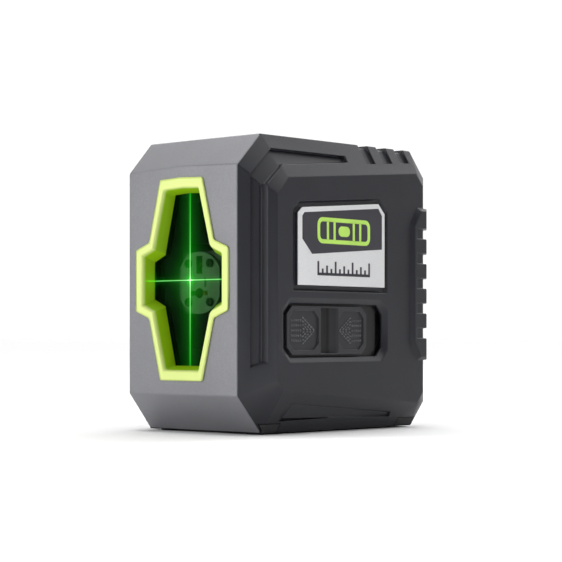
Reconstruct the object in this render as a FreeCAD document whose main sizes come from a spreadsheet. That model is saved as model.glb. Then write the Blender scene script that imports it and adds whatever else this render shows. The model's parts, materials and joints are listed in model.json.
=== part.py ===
"""A compact cross-line laser level: a faceted clamshell casing, a flared front window, and a magnetically
damped pendulum in a two-axis gimbal that a side slide switch unlocks.

Frame: +Z up, front face towards -Y, origin on the floor under the middle of the casing. Lengths in mm."""

import FreeCAD
import Part
import Sketcher
import os
from types import SimpleNamespace

Vector = FreeCAD.Vector
Rotation = FreeCAD.Rotation

# ---------------------------------------------------------------- driving dimensions
SIZES = {
    "casing": {
        "front_y": -40.7,          # y of the front face; depths below are measured back from it
        "total_height": 85.0,
        "lift": 0.4,               # casing floor above the table, on its feet
        "side_x": 29.5,            # flat side panel
        "rim_x": 21.5,             # edge between the front face and the side facets
        "rim_flare": 0.05,         # how fast that edge widens towards the back
        "brow_low": 75.7,          # where the front face meets the top chamfer
        "brow_peak": 0.7,          # how much higher that edge is in the middle
        "chin_high": 11.0,         # where it meets the bottom chamfer
        "chamfer_depth": 9.2,
        "roof_rear": 74.2,
        "full_depth": 80.9,
        "rear_high": 77.0,
        "rear_low": 7.5,
        "floor_rear": 74.8,
        "panel_front": 8.0,
        "panel_low": 15.7,
        "panel_high": 67.4,
        "panel_crest_depth": 72.2,
        "panel_crest": 77.5,
        "panel_rear": 75.5,
        "panel_toe_depth": 72.6,
        "panel_toe": 7.6,
        "wall": 2.0,
        "post_bite": 0.3,          # how far the inner posts reach into the wall
        "seam": 0.05,              # half of the gap along the centre split
    },
    "relief": {
        "band_depth": 1.4,
        "band_outer_front": 2.75,
        "band_inner_front": 6.0,
        "band_low_outer": 19.2,
        "band_low_inner": 20.6,
        "band_bend_outer": 72.9,
        "band_bend_inner": 70.1,
        "band_top_front_outer": 10.8,
        "band_top_front_inner": 12.5,
        "band_top_outer": 80.7,
        "band_top_inner": 76.2,
        "band_tail": 41.8,
        "band_tail_inner": 78.85,
        "band_gap_wide": 0.75,     # the deep narrow gap along the band's inner edge
        "band_gap_depth": 2.2,
        "undercut_high": 0.8,      # the tapering shadow gap under the ledge's front half
        "undercut_depth": 1.3,
        "undercut_rear": 34.0,
        "undercut_rear_z": 4.1,
        "ledge_front": 14.9,
        "ledge_front_top": 16.3,
        "ledge_rear": 62.3,
        "ledge_rear_top": 61.8,
        "ledge_low_front": 4.6,
        "ledge_high_front": 8.9,
        "ledge_low_rear": 3.6,
        "ledge_high_rear": 5.1,
        "ledge_proud": 0.6,        # its face stands out at the low front corner and sinks to the rear
        "ledge_sink": 1.0,
        "groove_first": 50.3,
        "groove_pitch": 8.25,
        "groove_width": 4.1,
        "groove_sink": 0.9,
        "groove_end_x": 27.45,
        "grip_front": 69.0,
        "grip_proud": 1.1,
        "grip_bevel": 1.0,
        "grip_low": 20.6,
        "grip_high": 67.1,
        "grip_slant_depth": 3.4,
        "grip_slant_height": 4.7,
        "grip_inner_x": 23.2,
        "notch_front": 71.2,
        "notch_pitch": 7.6,
        "notch_width": 3.1,
        "notch_middle": 44.0,
    },
    "window": {
        "window_z": 44.0,
        "window_peak": 0.35,
        "bezel_tip_x": 8.3,
        "bezel_tip_z": 28.9,
        "bezel_waist_x": 12.8,
        "bezel_waist_z": 11.0,
        "bezel_wing_x": 18.3,
        "bezel_wing_z": 8.9,
        "rim_tip_x": 7.0,
        "rim_tip_z": 26.3,
        "rim_waist_x": 11.6,
        "rim_waist_z": 9.3,
        "rim_wing_x": 16.05,
        "rim_wing_z": 7.5,
        "pane_tip_x": 5.8,
        "pane_tip_z": 24.4,
        "pane_waist_x": 9.9,
        "pane_waist_z": 7.5,
        "pane_wing_x": 13.9,
        "pane_wing_z": 5.6,
        "bezel_proud": 0.6,
        "bezel_neck": 0.6,         # how far the neck stands in from the rim outline
        "bezel_depth": 5.6,
        "cover_wall": 2.2,
        "glass_depth": 3.4,
        "glass_thick": 1.2,
        "glass_lap": 0.9,
        "gasket_thick": 0.7,
        "gasket_width": 0.8,
    },
    "label": {
        "label_front": 16.3,
        "label_rear": 55.9,
        "label_low": 42.3,
        "label_front_high": 62.8,
        "label_front_cut": 1.9,
        "label_top_front": 64.4,
        "label_top_rear": 67.2,
        "label_rear_cut": 3.0,
        "label_rear_high": 64.3,
        "label_thick": 0.4,
        "moat_depth": 0.9,         # the trough round the label's raised pad
        "moat_width": 1.6,
        "moat_floor": 1.1,
    },
    "switch": {
        "slot_front": 11.7,
        "slot_rear": 56.2,
        "slot_low": 22.0,
        "slot_high": 37.0,
        "slot_corner": 2.6,
        "slot_bevel": 1.6,
        "slot_bevel_sink": 1.1,
        "slider_front": 12.6,
        "slider_rear": 48.3,
        "slider_gap": 0.3,
        "slider_side_gap": 0.55,
        "slider_lip": 0.4,         # the thin walls that close the channel's ends
        "slider_corner": 2.3,
        "slider_face_x": 28.9,
        "slider_pad_sink": 0.5,
        "pad_rim": 0.9,            # what stands round the front thumb pad
        "pad_rim_z": 1.9,
        "pad_corner": 2.0,
        "rear_pad_front_rim": 0.3,
        "rear_pad_rear_rim": 1.3,
        "slider_channel_front": 27.35,
        "slider_channel_rear": 35.3,
        "slider_channel_foot": 32.2,
        "slider_channel_floor": 26.9,
        "flange_front": 9.6,
        "flange_rear": 54.6,
        "flange_low": 20.0,
        "flange_high": 39.0,
        "flange_thick": 1.5,
        "retainer_thick": 0.8,
        "retainer_gap": 0.3,
        "retainer_front": 10.5,
        "retainer_rear": 61.5,
        "retainer_border": 4.4,    # how far the plate reaches past the flange, up and down
        "retainer_post_front": 14.0,
        "retainer_post_rear": 58.0,
        "retainer_post_out": 2.4,
        "retainer_post_r": 1.9,
        "retainer_screw_length": 2.7,
        "retainer_screw_r": 0.85,
        "small_head_r": 1.7,
        "knob_front": 20.0,        # the power switch's own knob, with the slide locked
        "knob_long": 2.0,
        "knob_half": 1.0,
        "knob_low_x": 21.2,
        "knob_high_x": 24.2,
        "knob_clearance": 0.2,
        "fork_gap": 0.3,           # between the knob and the slide's fork
        "fork_thick": 1.5,
        "fork_half": 2.0,
        "fork_low_x": 22.2,
        "switch_board_x": 19.4,
        "switch_board_thick": 0.8,
        "switch_board_front": 14.0,
        "switch_board_rear": 35.0,
        "switch_board_half": 4.5,
        "switch_board_leg": 1.6,
        "switch_case_front": 16.2,
        "switch_case_rear": 32.0,
        "switch_case_half": 2.6,
        "switch_case_thick": 1.8,
        "switch_travel": 7.5,
        "drive_pin_depth": 46.0,
        "drive_pin_r": 1.25,
        "drive_pin_x": 19.9,
    },
    "gimbal": {
        "pivot_depth": 32.2,         # over the pendulum's centre of mass, so it hangs level
        "pivot_z": 66.0,
        "chassis_x": 19.0,
        "chassis_thick": 2.5,
        "chassis_front": 12.0,
        "chassis_rear": 56.0,
        "chassis_floor": 9.0,
        "chassis_plate": 1.5,
        "chassis_top": 75.5,
        "chassis_window_x": 12.5,
        "roof_window_x": 12.0,
        "roof_window_front": 20.0,
        "roof_window_rear": 48.0,
        "side_window_ahead": 12.0,   # from the pivot
        "side_window_behind": 14.0,
        "side_window_drop": 10.0,
        "bearing_r": 3.0,
        "bearing_bore": 1.5,
        "bearing_wide": 2.5,
        "running_gap": 0.03,
        "cross_half_x": 7.5,
        "cross_half_y": 6.0,
        "cross_half_z": 4.5,
        "hanger_gap": 2.5,
        "hanger_thick": 2.5,
        "hanger_half_x": 5.0,
        "weight_half_x": 9.0,
        "weight_front": 14.0,
        "weight_rear": 54.0,
        "weight_low": 24.2,
        "weight_high": 53.0,
        "nose_half_x": 8.0,
        "plate_front": 7.2,
        "plate_thick": 1.5,
        "plate_r": 9.0,
        "plate_z": 43.3,
        "plate_screw_x": 4.3,
        "plate_screw_z": 5.6,
        "lower_beam_z": 40.3,
        "upper_beam_z": 48.5,
        "barrel_r": 3.2,
        "barrel_length": 17.5,
        "lens_behind": 1.7,        # from the plate's rear face to the lens's middle
        "lens_r": 1.1,
        "lens_half": 2.7,
        "aperture_r": 1.5,
        "level_slot_half_x": 3.4,  # lets the level fan spread
        "level_slot_half_z": 0.7,
        "upright_slot_half_x": 1.2,  # lets the upright fan spread
        "upright_slot_half_z": 2.6,
        "key_low_x": 2.0,
        "key_high_x": 3.0,
        "key_rise": 1.8,
        "trim_depth": 30.0,
        "trim_up": 3.0,
        "trim_r": 1.2,
        "trim_length": 4.5,
        "trim_x": 2.6,
        "disc_r": 9.5,
        "disc_thick": 1.6,
        "disc_bevel": 0.3,
        "yoke_low": 16.0,
        "yoke_thick": 1.2,
        "yoke_half_y": 11.0,
        "yoke_leg_x": 14.0,
        "yoke_leg_y": 8.0,
        "yoke_leg_r": 1.6,
        "yoke_slot_x": 4.2,
        "yoke_slot_front": 6.0,    # how far the finger's slot starts ahead of the pivot
        "magnet_r": 3.0,
        "magnet_high": 3.4,
        "magnet_x": 8.0,
        "magnet_y": 6.5,
    },
    "lock": {
        "lock_axis_depth": 46.0,
        "lock_axis_z": 14.0,
        "lock_shaft_r": 1.5,
        "finger_length": 13.5,
        "finger_half_x": 1.6,
        "finger_half_z": 1.2,
        "pad_r": 2.0,
        "arm_half": 2.6,
        "arm_rise": 4.5,           # above the drive pin
        "fork_room": 0.4,
        "hub_half_x": 3.0,
        "arm_low_x": 20.4,
        "arm_high_x": 22.4,
    },
    "power": {
        "cell_r": 7.25,
        "cell_length": 50.5,
        "cell_x": 8.2,
        "cell_depth": 71.4,
        "cell_low": 17.7,
        "tray_x": 18.5,
        "tray_front": 62.5,
        "tray_rear": 77.8,
        "tray_low": 13.0,
        "tray_high": 69.9,
        "tray_wall": 1.2,
        "contact_half": 5.4,
        "contact_thick": 0.5,
        "spring_r": 4.6,           # the widest coil; each coil above it is smaller
        "spring_taper": 0.9,
        "spring_wire": 0.4,
        "spring_pitch": 0.72,
        "door_x": 20.5,
        "door_gap": 0.3,
        "door_axis_depth": 79.6,
        "door_axis_z": 12.4,
        "door_hinge_r": 1.3,
        "door_high": 73.7,
        "door_inner": 79.2,
        "door_panel_low": 14.8,
        "door_pin_r": 0.75,
        "door_pin_out": 2.3,
        "door_panel_inset": 1.5,
        "door_panel_corner": 3.0,
        "door_ridge_low": 64.2,
        "door_ridge_pitch": 1.5,
        "door_ridge_high": 0.8,
        "door_ridge_x": 7.0,
        "door_rib_low": 24.0,
        "door_rib_high": 62.0,
        "board_x": -24.5,
        "board_thick": 1.2,
        "board_front": 12.0,
        "board_rear": 58.0,
        "board_low": 16.0,
        "board_high": 66.0,
        "board_screw_inset": 3.5,
        "standoff_r": 1.9,
    },
    "mounting": {
        "insert_depth": 40.7,
        "insert_r": 5.0,
        "insert_flange_r": 6.2,
        "insert_length": 7.5,
        "thread_r": 2.55,          # crest radius of a 1/4 inch tripod thread
        "thread_length": 6.5,
        "foot_front": 7.6,
        "foot_depth": 7.9,
        "foot_inner_x": 13.0,
        "foot_high": 3.1,
        "post_r": 2.3,
        "pilot_r": 0.93,           # bored to the screws' own thread
        "screw_r": 0.9,
        "screw_head_r": 1.8,
    },
}

doc = FreeCAD.newDocument("CrossLineLaserLevel")
sheet = doc.addObject("Spreadsheet::Sheet", "Sizes")


# ---------------------------------------------------------------- sizes that know their expression
class Size:
    """A length: its present value, and the sheet expression that properties are bound to."""

    def __init__(self, value, text):
        self.value = value
        self.text = text

    def __add__(self, other):
        return combine(self, "+", other)

    def __radd__(self, other):
        return combine(other, "+", self)

    def __sub__(self, other):
        return combine(self, "-", other)

    def __rsub__(self, other):
        return combine(other, "-", self)

    def __mul__(self, other):
        return combine(self, "*", other)

    def __rmul__(self, other):
        return combine(other, "*", self)

    def __truediv__(self, other):
        return combine(self, "/", other)

    def __neg__(self):
        return Size(-self.value, f"(-1 * {self.text})")


OPERATIONS = {
    "+": lambda a, b: a + b,
    "-": lambda a, b: a - b,
    "*": lambda a, b: a * b,
    "/": lambda a, b: a / b,
}


def as_size(number):
    if isinstance(number, Size):
        return number
    return Size(float(number), f"({float(number)})")


def combine(left, sign, right):
    left = as_size(left)
    right = as_size(right)
    return Size(OPERATIONS[sign](left.value, right.value), f"({left.text} {sign} {right.text})")


def fill_sheet():
    """One row per driving dimension; every cell is named by its alias."""
    names = {}
    row = 1
    for section, sizes in SIZES.items():
        sheet.set(f"A{row}", section)
        row += 1
        for alias, value in sizes.items():
            sheet.set(f"A{row}", alias.replace("_", " "))
            sheet.set(f"B{row}", str(value))
            sheet.setAlias(f"B{row}", alias)
            names[alias] = Size(float(value), f"Sizes.{alias}")
            row += 1
    return SimpleNamespace(**names)


size = fill_sheet()
doc.recompute()


def back(depth):
    """The y of a depth measured back from the front face."""
    return size.front_y + depth


# ---------------------------------------------------------------- document helpers
AXES = {"X": Vector(1, 0, 0), "Y": Vector(0, 1, 0), "Z": Vector(0, 0, 1), "-Z": Vector(0, 0, -1),
        "-X": Vector(-1, 0, 0), "-Y": Vector(0, -1, 0)}
PLANES = {"XY": ("XY_Plane", 1), "XZ": ("XZ_Plane", -1), "YZ": ("YZ_Plane", 1)}
parts = {}


def part(name, item):
    """Mark a document object as one sub-part of the level."""
    item.Label = name
    parts[name] = item
    return item


def bind(item, field, value):
    item.setExpression(field, as_size(value).text)


def place(item, x, y, z, rotation=Rotation()):
    item.Placement = FreeCAD.Placement(Vector(0, 0, 0), rotation)
    for axis, value in zip("xyz", (x, y, z)):
        bind(item, f"Placement.Base.{axis}", value)


def towards(axis):
    """The rotation that takes +Z to a named axis."""
    return Rotation(Vector(0, 0, 1), AXES[axis])


def box(name, xs, ys, zs):
    """A block between two corners, each side given as (low, high)."""
    item = doc.addObject("Part::Box", name)
    for side, (low, high) in zip(("Length", "Width", "Height"), (xs, ys, zs)):
        bind(item, side, as_size(high) - low)
    place(item, xs[0], ys[0], zs[0])
    return item


def rod(name, axis, radius, start, length):
    """A cylinder from start along a named axis."""
    item = doc.addObject("Part::Cylinder", name)
    bind(item, "Radius", radius)
    bind(item, "Height", length)
    place(item, *start, towards(axis))
    return item


def join(name, *pieces):
    item = doc.addObject("Part::MultiFuse", name)
    item.Shapes = list(pieces)
    item.Refine = True
    return item


def overlap(name, first, second):
    item = doc.addObject("Part::Common", name)
    item.Base = first
    item.Tool = second
    return item


def cut(name, base, *tools):
    item = doc.addObject("Part::Cut", name)
    item.Base = base
    if len(tools) == 1:
        item.Tool = tools[0]
    else:
        item.Tool = join(name + "_tools", *tools)
    return item


def mirrored(name, source, normal=Vector(1, 0, 0), base=Vector(0, 0, 0)):
    item = doc.addObject("Part::Mirroring", name)
    item.Source = source
    item.Normal = normal
    item.Base = base
    return item


def group(name, pieces):
    """Separate solids that share one node."""
    item = doc.addObject("Part::Compound", name)
    item.Links = list(pieces)
    return item


def sketch(body, plane, height, points):
    """A closed polygon on a plane of the body, every corner held by its distances from the origin."""
    role, sign = PLANES[plane]
    item = body.newObject("Sketcher::SketchObject", body.Name + "_outline")
    origin_plane = [feature for feature in body.Origin.OriginFeatures if feature.Role == role][0]
    item.AttachmentSupport = [(origin_plane, "")]
    item.MapMode = "FlatFace"
    bind(item, "AttachmentOffset.Base.z", as_size(height) * sign)
    corners = [(as_size(u), as_size(v)) for u, v in points]
    places = [Vector(u.value, v.value, 0) for u, v in corners]
    count = len(corners)
    for index in range(count):
        item.addGeometry(Part.LineSegment(places[index], places[(index + 1) % count]), False)
    for index in range(count):
        item.addConstraint(Sketcher.Constraint("Coincident", index, 2, (index + 1) % count, 1))
    for index, corner in enumerate(corners):
        for kind, length in zip(("DistanceX", "DistanceY"), corner):
            held = item.addConstraint(Sketcher.Constraint(kind, -1, 1, index, 1, length.value))
            if "Sizes." in length.text:
                bind(item, f"Constraints[{held}]", length)
    return item


def prism(name, plane, points, low, high):
    """A polygon padded from low to high along its plane's axis."""
    body = doc.addObject("PartDesign::Body", name)
    start = high if plane == "XZ" else low
    pad = body.newObject("PartDesign::Pad", name + "_pad")
    pad.Profile = sketch(body, plane, start, points)
    bind(pad, "Length", as_size(high) - low)
    return body


def loft(name, plane, first, first_at, second, second_at):
    """Flat sided loft between two polygons with the same number of corners."""
    body = doc.addObject("PartDesign::Body", name)
    start = sketch(body, plane, first_at, first)
    end = sketch(body, plane, second_at, second)
    skin = body.newObject("PartDesign::AdditiveLoft", name + "_loft")
    skin.Profile = start
    skin.Sections = [end]
    skin.Ruled = True
    return body


def turned(name, axis, profile, origin):
    """A profile of (radius, distance along the axis) turned about the axis through origin."""
    body = doc.addObject("PartDesign::Body", name)
    outline = sketch(body, "XZ", 0, profile)
    spin = body.newObject("PartDesign::Revolution", name + "_turn")
    spin.Profile = outline
    spin.ReferenceAxis = (outline, ["V_Axis"])
    spin.Angle = 360
    place(body, *origin, towards(axis))
    return body


def octagon(low_u, high_u, low_v, high_v, corner):
    """A rectangle with its corners cut at 45 degrees."""
    return [
        (low_u + corner, low_v), (high_u - corner, low_v),
        (high_u, low_v + corner), (high_u, high_v - corner),
        (high_u - corner, high_v), (low_u + corner, high_v),
        (low_u, high_v - corner), (low_u, low_v + corner),
    ]


def screw(name, axis, head_at, length, head_r=None, shank_r=None):
    """A pan head screw with a square driver recess; head_at is the underside of its head."""
    head_r = head_r or size.screw_head_r
    shank_r = shank_r or size.screw_r
    head_high = head_r * 0.65
    body = turned(name + "_blank", axis, [
        (0, 0 - head_high), (head_r * 0.8, 0 - head_high), (head_r, 0 - head_high * 0.6), (head_r, 0),
        (shank_r, 0), (shank_r, length - shank_r), (shank_r * 0.3, length), (0, length),
    ], head_at)
    slots = []
    for turn in (0, 90):
        slot = doc.addObject("Part::Box", name + "_slot")
        bind(slot, "Length", head_r * 1.1)
        bind(slot, "Width", head_r * 0.28)
        bind(slot, "Height", head_high)
        rotation = towards(axis).multiply(Rotation(Vector(0, 0, 1), turn))
        middle = rotation.multVec(Vector(-head_r.value * 0.55, -head_r.value * 0.14, -head_high.value * 1.5))
        place(slot, *(at + shift for at, shift in zip(head_at, middle)), rotation)
        slots.append(slot)
    return cut(name, body, *slots)


# ---------------------------------------------------------------- the faceted casing
def casing_planes():
    """The right half's outer faces: a point on each face and the normal out of it."""
    s = size
    rim = {
        "brow": (0, s.brow_low), "brow_top": (s.chamfer_depth, s.total_height),
        "roof_rear": (s.roof_rear, s.total_height), "rear_top": (s.full_depth, s.rear_high),
        "rear_low": (s.full_depth, s.rear_low), "floor_rear": (s.floor_rear, s.lift),
        "chin_low": (s.chamfer_depth, s.lift), "chin": (0, s.chin_high),
    }
    panel = {
        "front": (s.panel_front, s.panel_high), "front_low": (s.panel_front, s.panel_low),
        "crest": (s.panel_crest_depth, s.panel_crest), "rear": (s.panel_rear, s.window_z),
        "toe": (s.panel_toe_depth, s.panel_toe),
    }
    facets = [
        ("chin", "brow", "front"), ("brow", "brow_top", "front"),
        ("brow_top", "roof_rear", "crest"), ("roof_rear", "rear_top", "crest"),
        ("rear_top", "rear_low", "rear"), ("rear_low", "floor_rear", "toe"),
        ("floor_rear", "chin_low", "toe"), ("chin_low", "chin", "front_low"),
    ]
    inside = Vector(5, 0, s.window_z.value)

    def rim_point(corner):
        depth, high = (as_size(value) for value in rim[corner])
        return Vector(s.rim_x.value + s.rim_flare.value * depth.value, back(depth).value, high.value)

    def panel_point(corner):
        depth, high = (as_size(value) for value in panel[corner])
        return Vector(s.side_x.value, back(depth).value, high.value)

    faces = []
    across = Vector(1, 0, 0)
    for first, second, third in facets:
        a = rim_point(first)
        b = rim_point(second)
        faces.append((a, (b - a).cross(panel_point(third) - a)))
    for first, second, _ in facets:
        a = rim_point(first)
        b = rim_point(second)
        faces.append((a, (b - a).cross(across)))
    faces.append((panel_point("front"), across))
    planes = []
    for point, normal in faces:
        normal = normal.normalize()
        if normal.dot(inside - point) > 0:
            normal = normal * -1
        planes.append((point, normal))
    return planes


def beyond_plane(point, normal):
    """A block that fills everything outside a plane."""
    big = 400.0
    block = Part.makeBox(big, big, big / 2, Vector(-big / 2, -big / 2, 0))
    block.Placement = FreeCAD.Placement(point, Rotation(Vector(0, 0, 1), normal))
    return block


def casing(name, inset):
    """The right half of the casing as a closed solid, every outer face moved in by inset."""
    big = 400.0
    solid = Part.makeBox(big / 2, big, big, Vector(0, -big / 2, -big / 2))
    for point, normal in casing_planes():
        solid = solid.cut(beyond_plane(point - normal * inset, normal))
    item = doc.addObject("Part::Feature", name)
    item.Shape = solid
    return item


def along_side(name, points, low=10, high=40):
    """A polygon of (depth, z) corners run across the right side, along X."""
    return prism(name, "YZ", [(back(depth), high_z) for depth, high_z in points], low, high)


def make_side_relief():
    """What the right half of the casing carries outside: a ledge, a ribbed grip, a sunk band and grooves."""
    s = size
    ledge_face = prism("ledge_face", "YZ", [
        (back(s.ledge_front), s.ledge_low_front), (back(s.ledge_rear), s.ledge_low_rear),
        (back(s.ledge_rear_top), s.ledge_high_rear), (back(s.ledge_front_top), s.ledge_high_front),
    ], 20, 30)
    planes = casing_planes()
    point, normal = planes[6]
    high_front = Vector(0, back(s.ledge_front_top).value, s.ledge_high_front.value)
    high_rear = Vector(0, back(s.ledge_rear_top).value, s.ledge_high_rear.value)
    low_front = Vector(0, back(s.ledge_front).value, s.ledge_low_front.value)
    on_face = []
    for corner, proud in ((high_front, 0), (high_rear, -s.ledge_sink.value),
                          (low_front, s.ledge_proud.value)):
        x = (point.dot(normal) - corner.y * normal.y - corner.z * normal.z) / normal.x
        on_face.append(Vector(x + proud, corner.y, corner.z))
    slope = (on_face[1] - on_face[0]).cross(on_face[2] - on_face[0]).normalize()
    if slope.x < 0:
        slope = slope * -1
    above = doc.addObject("Part::Feature", "above_ledge")
    above.Shape = beyond_plane(on_face[0], slope)
    ledge = cut("ledge", ledge_face, above)
    ledge_pocket = overlap("ledge_pocket", ledge_face, above)

    slant = s.grip_slant_depth
    rise = s.grip_slant_height

    def grip_outline(inset):
        front = s.grip_front + inset
        low = s.grip_low + inset
        high = s.grip_high - inset
        end = s.full_depth + 4
        return [
            (front, low + rise), (front + slant, low), (end, low),
            (end, high), (front + slant, high), (front, high - rise),
        ]

    def in_frame(points):
        return [(back(depth), z) for depth, z in points]

    grip_skirt = prism("grip_skirt", "YZ", in_frame(grip_outline(0)), s.grip_inner_x, s.side_x)
    grip_face = loft("grip_face", "YZ", in_frame(grip_outline(0)), s.side_x,
                     in_frame(grip_outline(s.grip_bevel)), s.side_x + s.grip_proud)
    grip_limit = casing("grip_limit", -s.grip_proud.value)
    grip_blank = overlap("grip_blank", join("grip_whole", grip_skirt, grip_face), grip_limit)
    notches = []
    for step in range(-2, 3):
        middle = s.notch_middle + s.notch_pitch * step
        notches.append(box(f"grip_notch_{step + 3}", (s.grip_inner_x - 1, s.side_x + 3),
                           (back(s.notch_front), back(s.full_depth + 5)),
                           (middle - s.notch_width / 2, middle + s.notch_width / 2)))
    grip = cut("grip", grip_blank, *notches)

    band_shape = along_side("band_shape", [
        (s.band_outer_front, s.band_low_outer), (s.band_inner_front, s.band_low_inner),
        (s.band_inner_front, s.band_bend_inner), (s.band_top_front_inner, s.band_top_inner),
        (s.band_tail, s.band_tail_inner), (s.band_tail, s.band_top_outer),
        (s.band_top_front_outer, s.band_top_outer), (s.band_outer_front, s.band_bend_outer),
    ])
    band_floor = casing("band_floor", 0)
    place(band_floor, 0 - s.band_depth, 0, 0)
    band = cut("band", band_shape, band_floor)
    gap_front = s.band_inner_front - s.band_gap_wide
    gap_rear = s.band_inner_front + 0.01
    gap_shape = along_side("band_gap_shape", [
        (gap_front, s.band_low_inner - 0.1), (gap_rear, s.band_low_inner),
        (gap_rear, s.band_bend_inner), (gap_front, s.band_bend_inner),
    ])
    gap_floor = casing("band_gap_floor", 0)
    place(gap_floor, 0 - s.band_gap_depth, 0, 0)
    band_gap = cut("band_gap", gap_shape, gap_floor)
    undercut_shape = along_side("undercut_shape", [
        (s.ledge_front, s.ledge_low_front), (s.ledge_front - 0.3, s.ledge_low_front - s.undercut_high),
        (s.undercut_rear, s.undercut_rear_z), (s.undercut_rear, s.undercut_rear_z + 0.1),
    ])
    undercut_floor = casing("undercut_floor", 0)
    place(undercut_floor, 0 - s.undercut_depth, 0, 0)
    undercut = cut("undercut", undercut_shape, undercut_floor)

    grooves = []
    for step in range(3):
        front = s.groove_first + s.groove_pitch * step
        grooves.append(box(f"roof_groove_{step + 1}", (0 - s.groove_end_x, s.groove_end_x),
                           (back(front), back(front + s.groove_width)), (68, 92)))
    groove_floor = casing("groove_floor", s.groove_sink.value)
    groove_cut = cut("groove_cut", join("roof_grooves", *grooves), groove_floor,
                     mirrored("groove_floor_left", groove_floor))
    return (ledge, grip), (band, band_gap, groove_cut, ledge_pocket, undercut)


def cover_inner_face():
    """The cover's inner (depth, z) corners, from its top edge down to its bottom edge."""
    s = size
    thick = s.cover_wall
    slant = thick * 1.44
    return [
        (s.chamfer_depth, s.total_height - slant), (thick, s.brow_low + thick - slant),
        (thick, s.chin_high - thick * 1.15 + slant), (s.chamfer_depth, s.lift + slant),
    ]


def brow_slope(name, side):
    """What lies above the top chamfer on one side of the cover's low middle ridge."""
    s = size
    ridge = Vector(0, s.front_y.value, (s.brow_low + s.brow_peak).value)
    corner = Vector(side * s.rim_x.value, s.front_y.value, s.brow_low.value)
    climb = Vector(0, s.chamfer_depth.value, (s.total_height - s.brow_low).value)
    normal = (corner - ridge).cross(climb).normalize()
    if normal.z < 0:
        normal = normal * -1
    item = doc.addObject("Part::Feature", name)
    item.Shape = beyond_plane(ridge, normal)
    return item


def make_front_cover():
    """The painted front shell: flat front, top and bottom chamfers, window hole, four screw posts."""
    s = size
    thick = s.cover_wall
    ridge = s.brow_low + s.brow_peak
    ridge_top = s.chamfer_depth - s.brow_peak * s.chamfer_depth / (s.total_height - s.brow_low)
    shell = along_side("cover_shell", [
        (0, s.chin_high), (0, ridge), (ridge_top, s.total_height), (s.chamfer_depth, s.total_height),
        *cover_inner_face(), (s.chamfer_depth, s.lift),
    ], -25, 25)
    slopes = [brow_slope("brow_slope_right", 1), brow_slope("brow_slope_left", -1)]
    rear_x = s.rim_x + s.rim_flare * s.chamfer_depth
    plan = prism("cover_plan", "XY", [
        (0 - s.rim_x, back(0)), (s.rim_x, back(0)), (rear_x, back(s.chamfer_depth)),
        (0 - rear_x, back(s.chamfer_depth)),
    ], 0, 90)
    blank = cut("cover_blank", overlap("cover_outline", shell, plan), *slopes)
    hole = prism("cover_hole", "XZ", window_outline("bezel", s.bezel_neck), back(-1), back(5))
    posts = []
    pilots = []
    for index, (x, z) in enumerate(cover_screw_spots()):
        posts.append(rod(f"cover_post_{index + 1}", "Y", s.post_r, (x, back(thick * 0.6), z),
                         s.chassis_front - thick * 0.6))
        pilots.append(rod(f"cover_pilot_{index + 1}", "Y", s.pilot_r, (x, back(4), z), s.chassis_front))
    solid = join("cover_with_posts", cut("cover_window", blank, hole), *posts)
    return part("front_cover", cut("front_cover_cut", solid, *pilots))


def cover_screw_spots():
    return [(-14.5, 14.5), (14.5, 14.5), (-14.5, 71.0), (14.5, 71.0)]


def window_outline(kind, inset=0):
    """The cross shaped outline of the window with a low peak on top; kind is bezel, rim or pane."""
    quarter = []
    for corner in ("tip", "waist", "wing"):
        x = getattr(size, f"{kind}_{corner}_x") - inset
        z = getattr(size, f"{kind}_{corner}_z") - inset
        quarter.append((x, z))
    centre = size.window_z
    right = [(x, centre + z) for x, z in quarter] + [(x, centre - z) for x, z in reversed(quarter)]
    left = [(0 - x, z) for x, z in reversed(right)]
    return right + left + [(0, right[0][1] + size.window_peak)]


def make_window():
    """The flared bezel, the tinted pane behind it and the pane's gasket."""
    s = size
    rim = prism("bezel_rim", "XZ", window_outline("bezel"), back(0 - s.bezel_proud), back(0))
    neck = prism("bezel_neck_shape", "XZ", window_outline("bezel", s.bezel_neck + 0.05), back(-0.3),
                 back(s.bezel_depth))
    flare = loft("bezel_flare", "XZ", window_outline("rim", -0.18), back(-1), window_outline("pane"),
                 back(s.glass_depth))
    rebate = prism("bezel_rebate", "XZ", window_outline("pane", 0 - s.glass_lap), back(s.glass_depth),
                   back(s.bezel_depth + 1))
    part("window_bezel", cut("bezel_cut", join("bezel_blank", rim, neck), flare, rebate))
    glass_rear = s.glass_depth + s.glass_thick
    pane = prism("window_glass_pad", "XZ", window_outline("pane", 0.05 - s.glass_lap), back(s.glass_depth),
                 back(glass_rear))
    part("window_glass", pane)
    ring = prism("gasket_outer", "XZ", window_outline("pane", 0.1 - s.glass_lap), back(glass_rear),
                 back(glass_rear + s.gasket_thick))
    hole = prism("gasket_hole", "XZ", window_outline("pane", 0.1 - s.glass_lap + s.gasket_width),
                 back(s.glass_depth), back(glass_rear + s.gasket_thick + 1))
    part("window_gasket", cut("window_gasket_cut", ring, hole))


def case_screw_spots():
    """(depth, z) of the four screws that pull the casing halves together."""
    return [(20.0, 79.4), (60.0, 79.4), (20.0, 5.4), (58.0, 5.4)]


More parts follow.
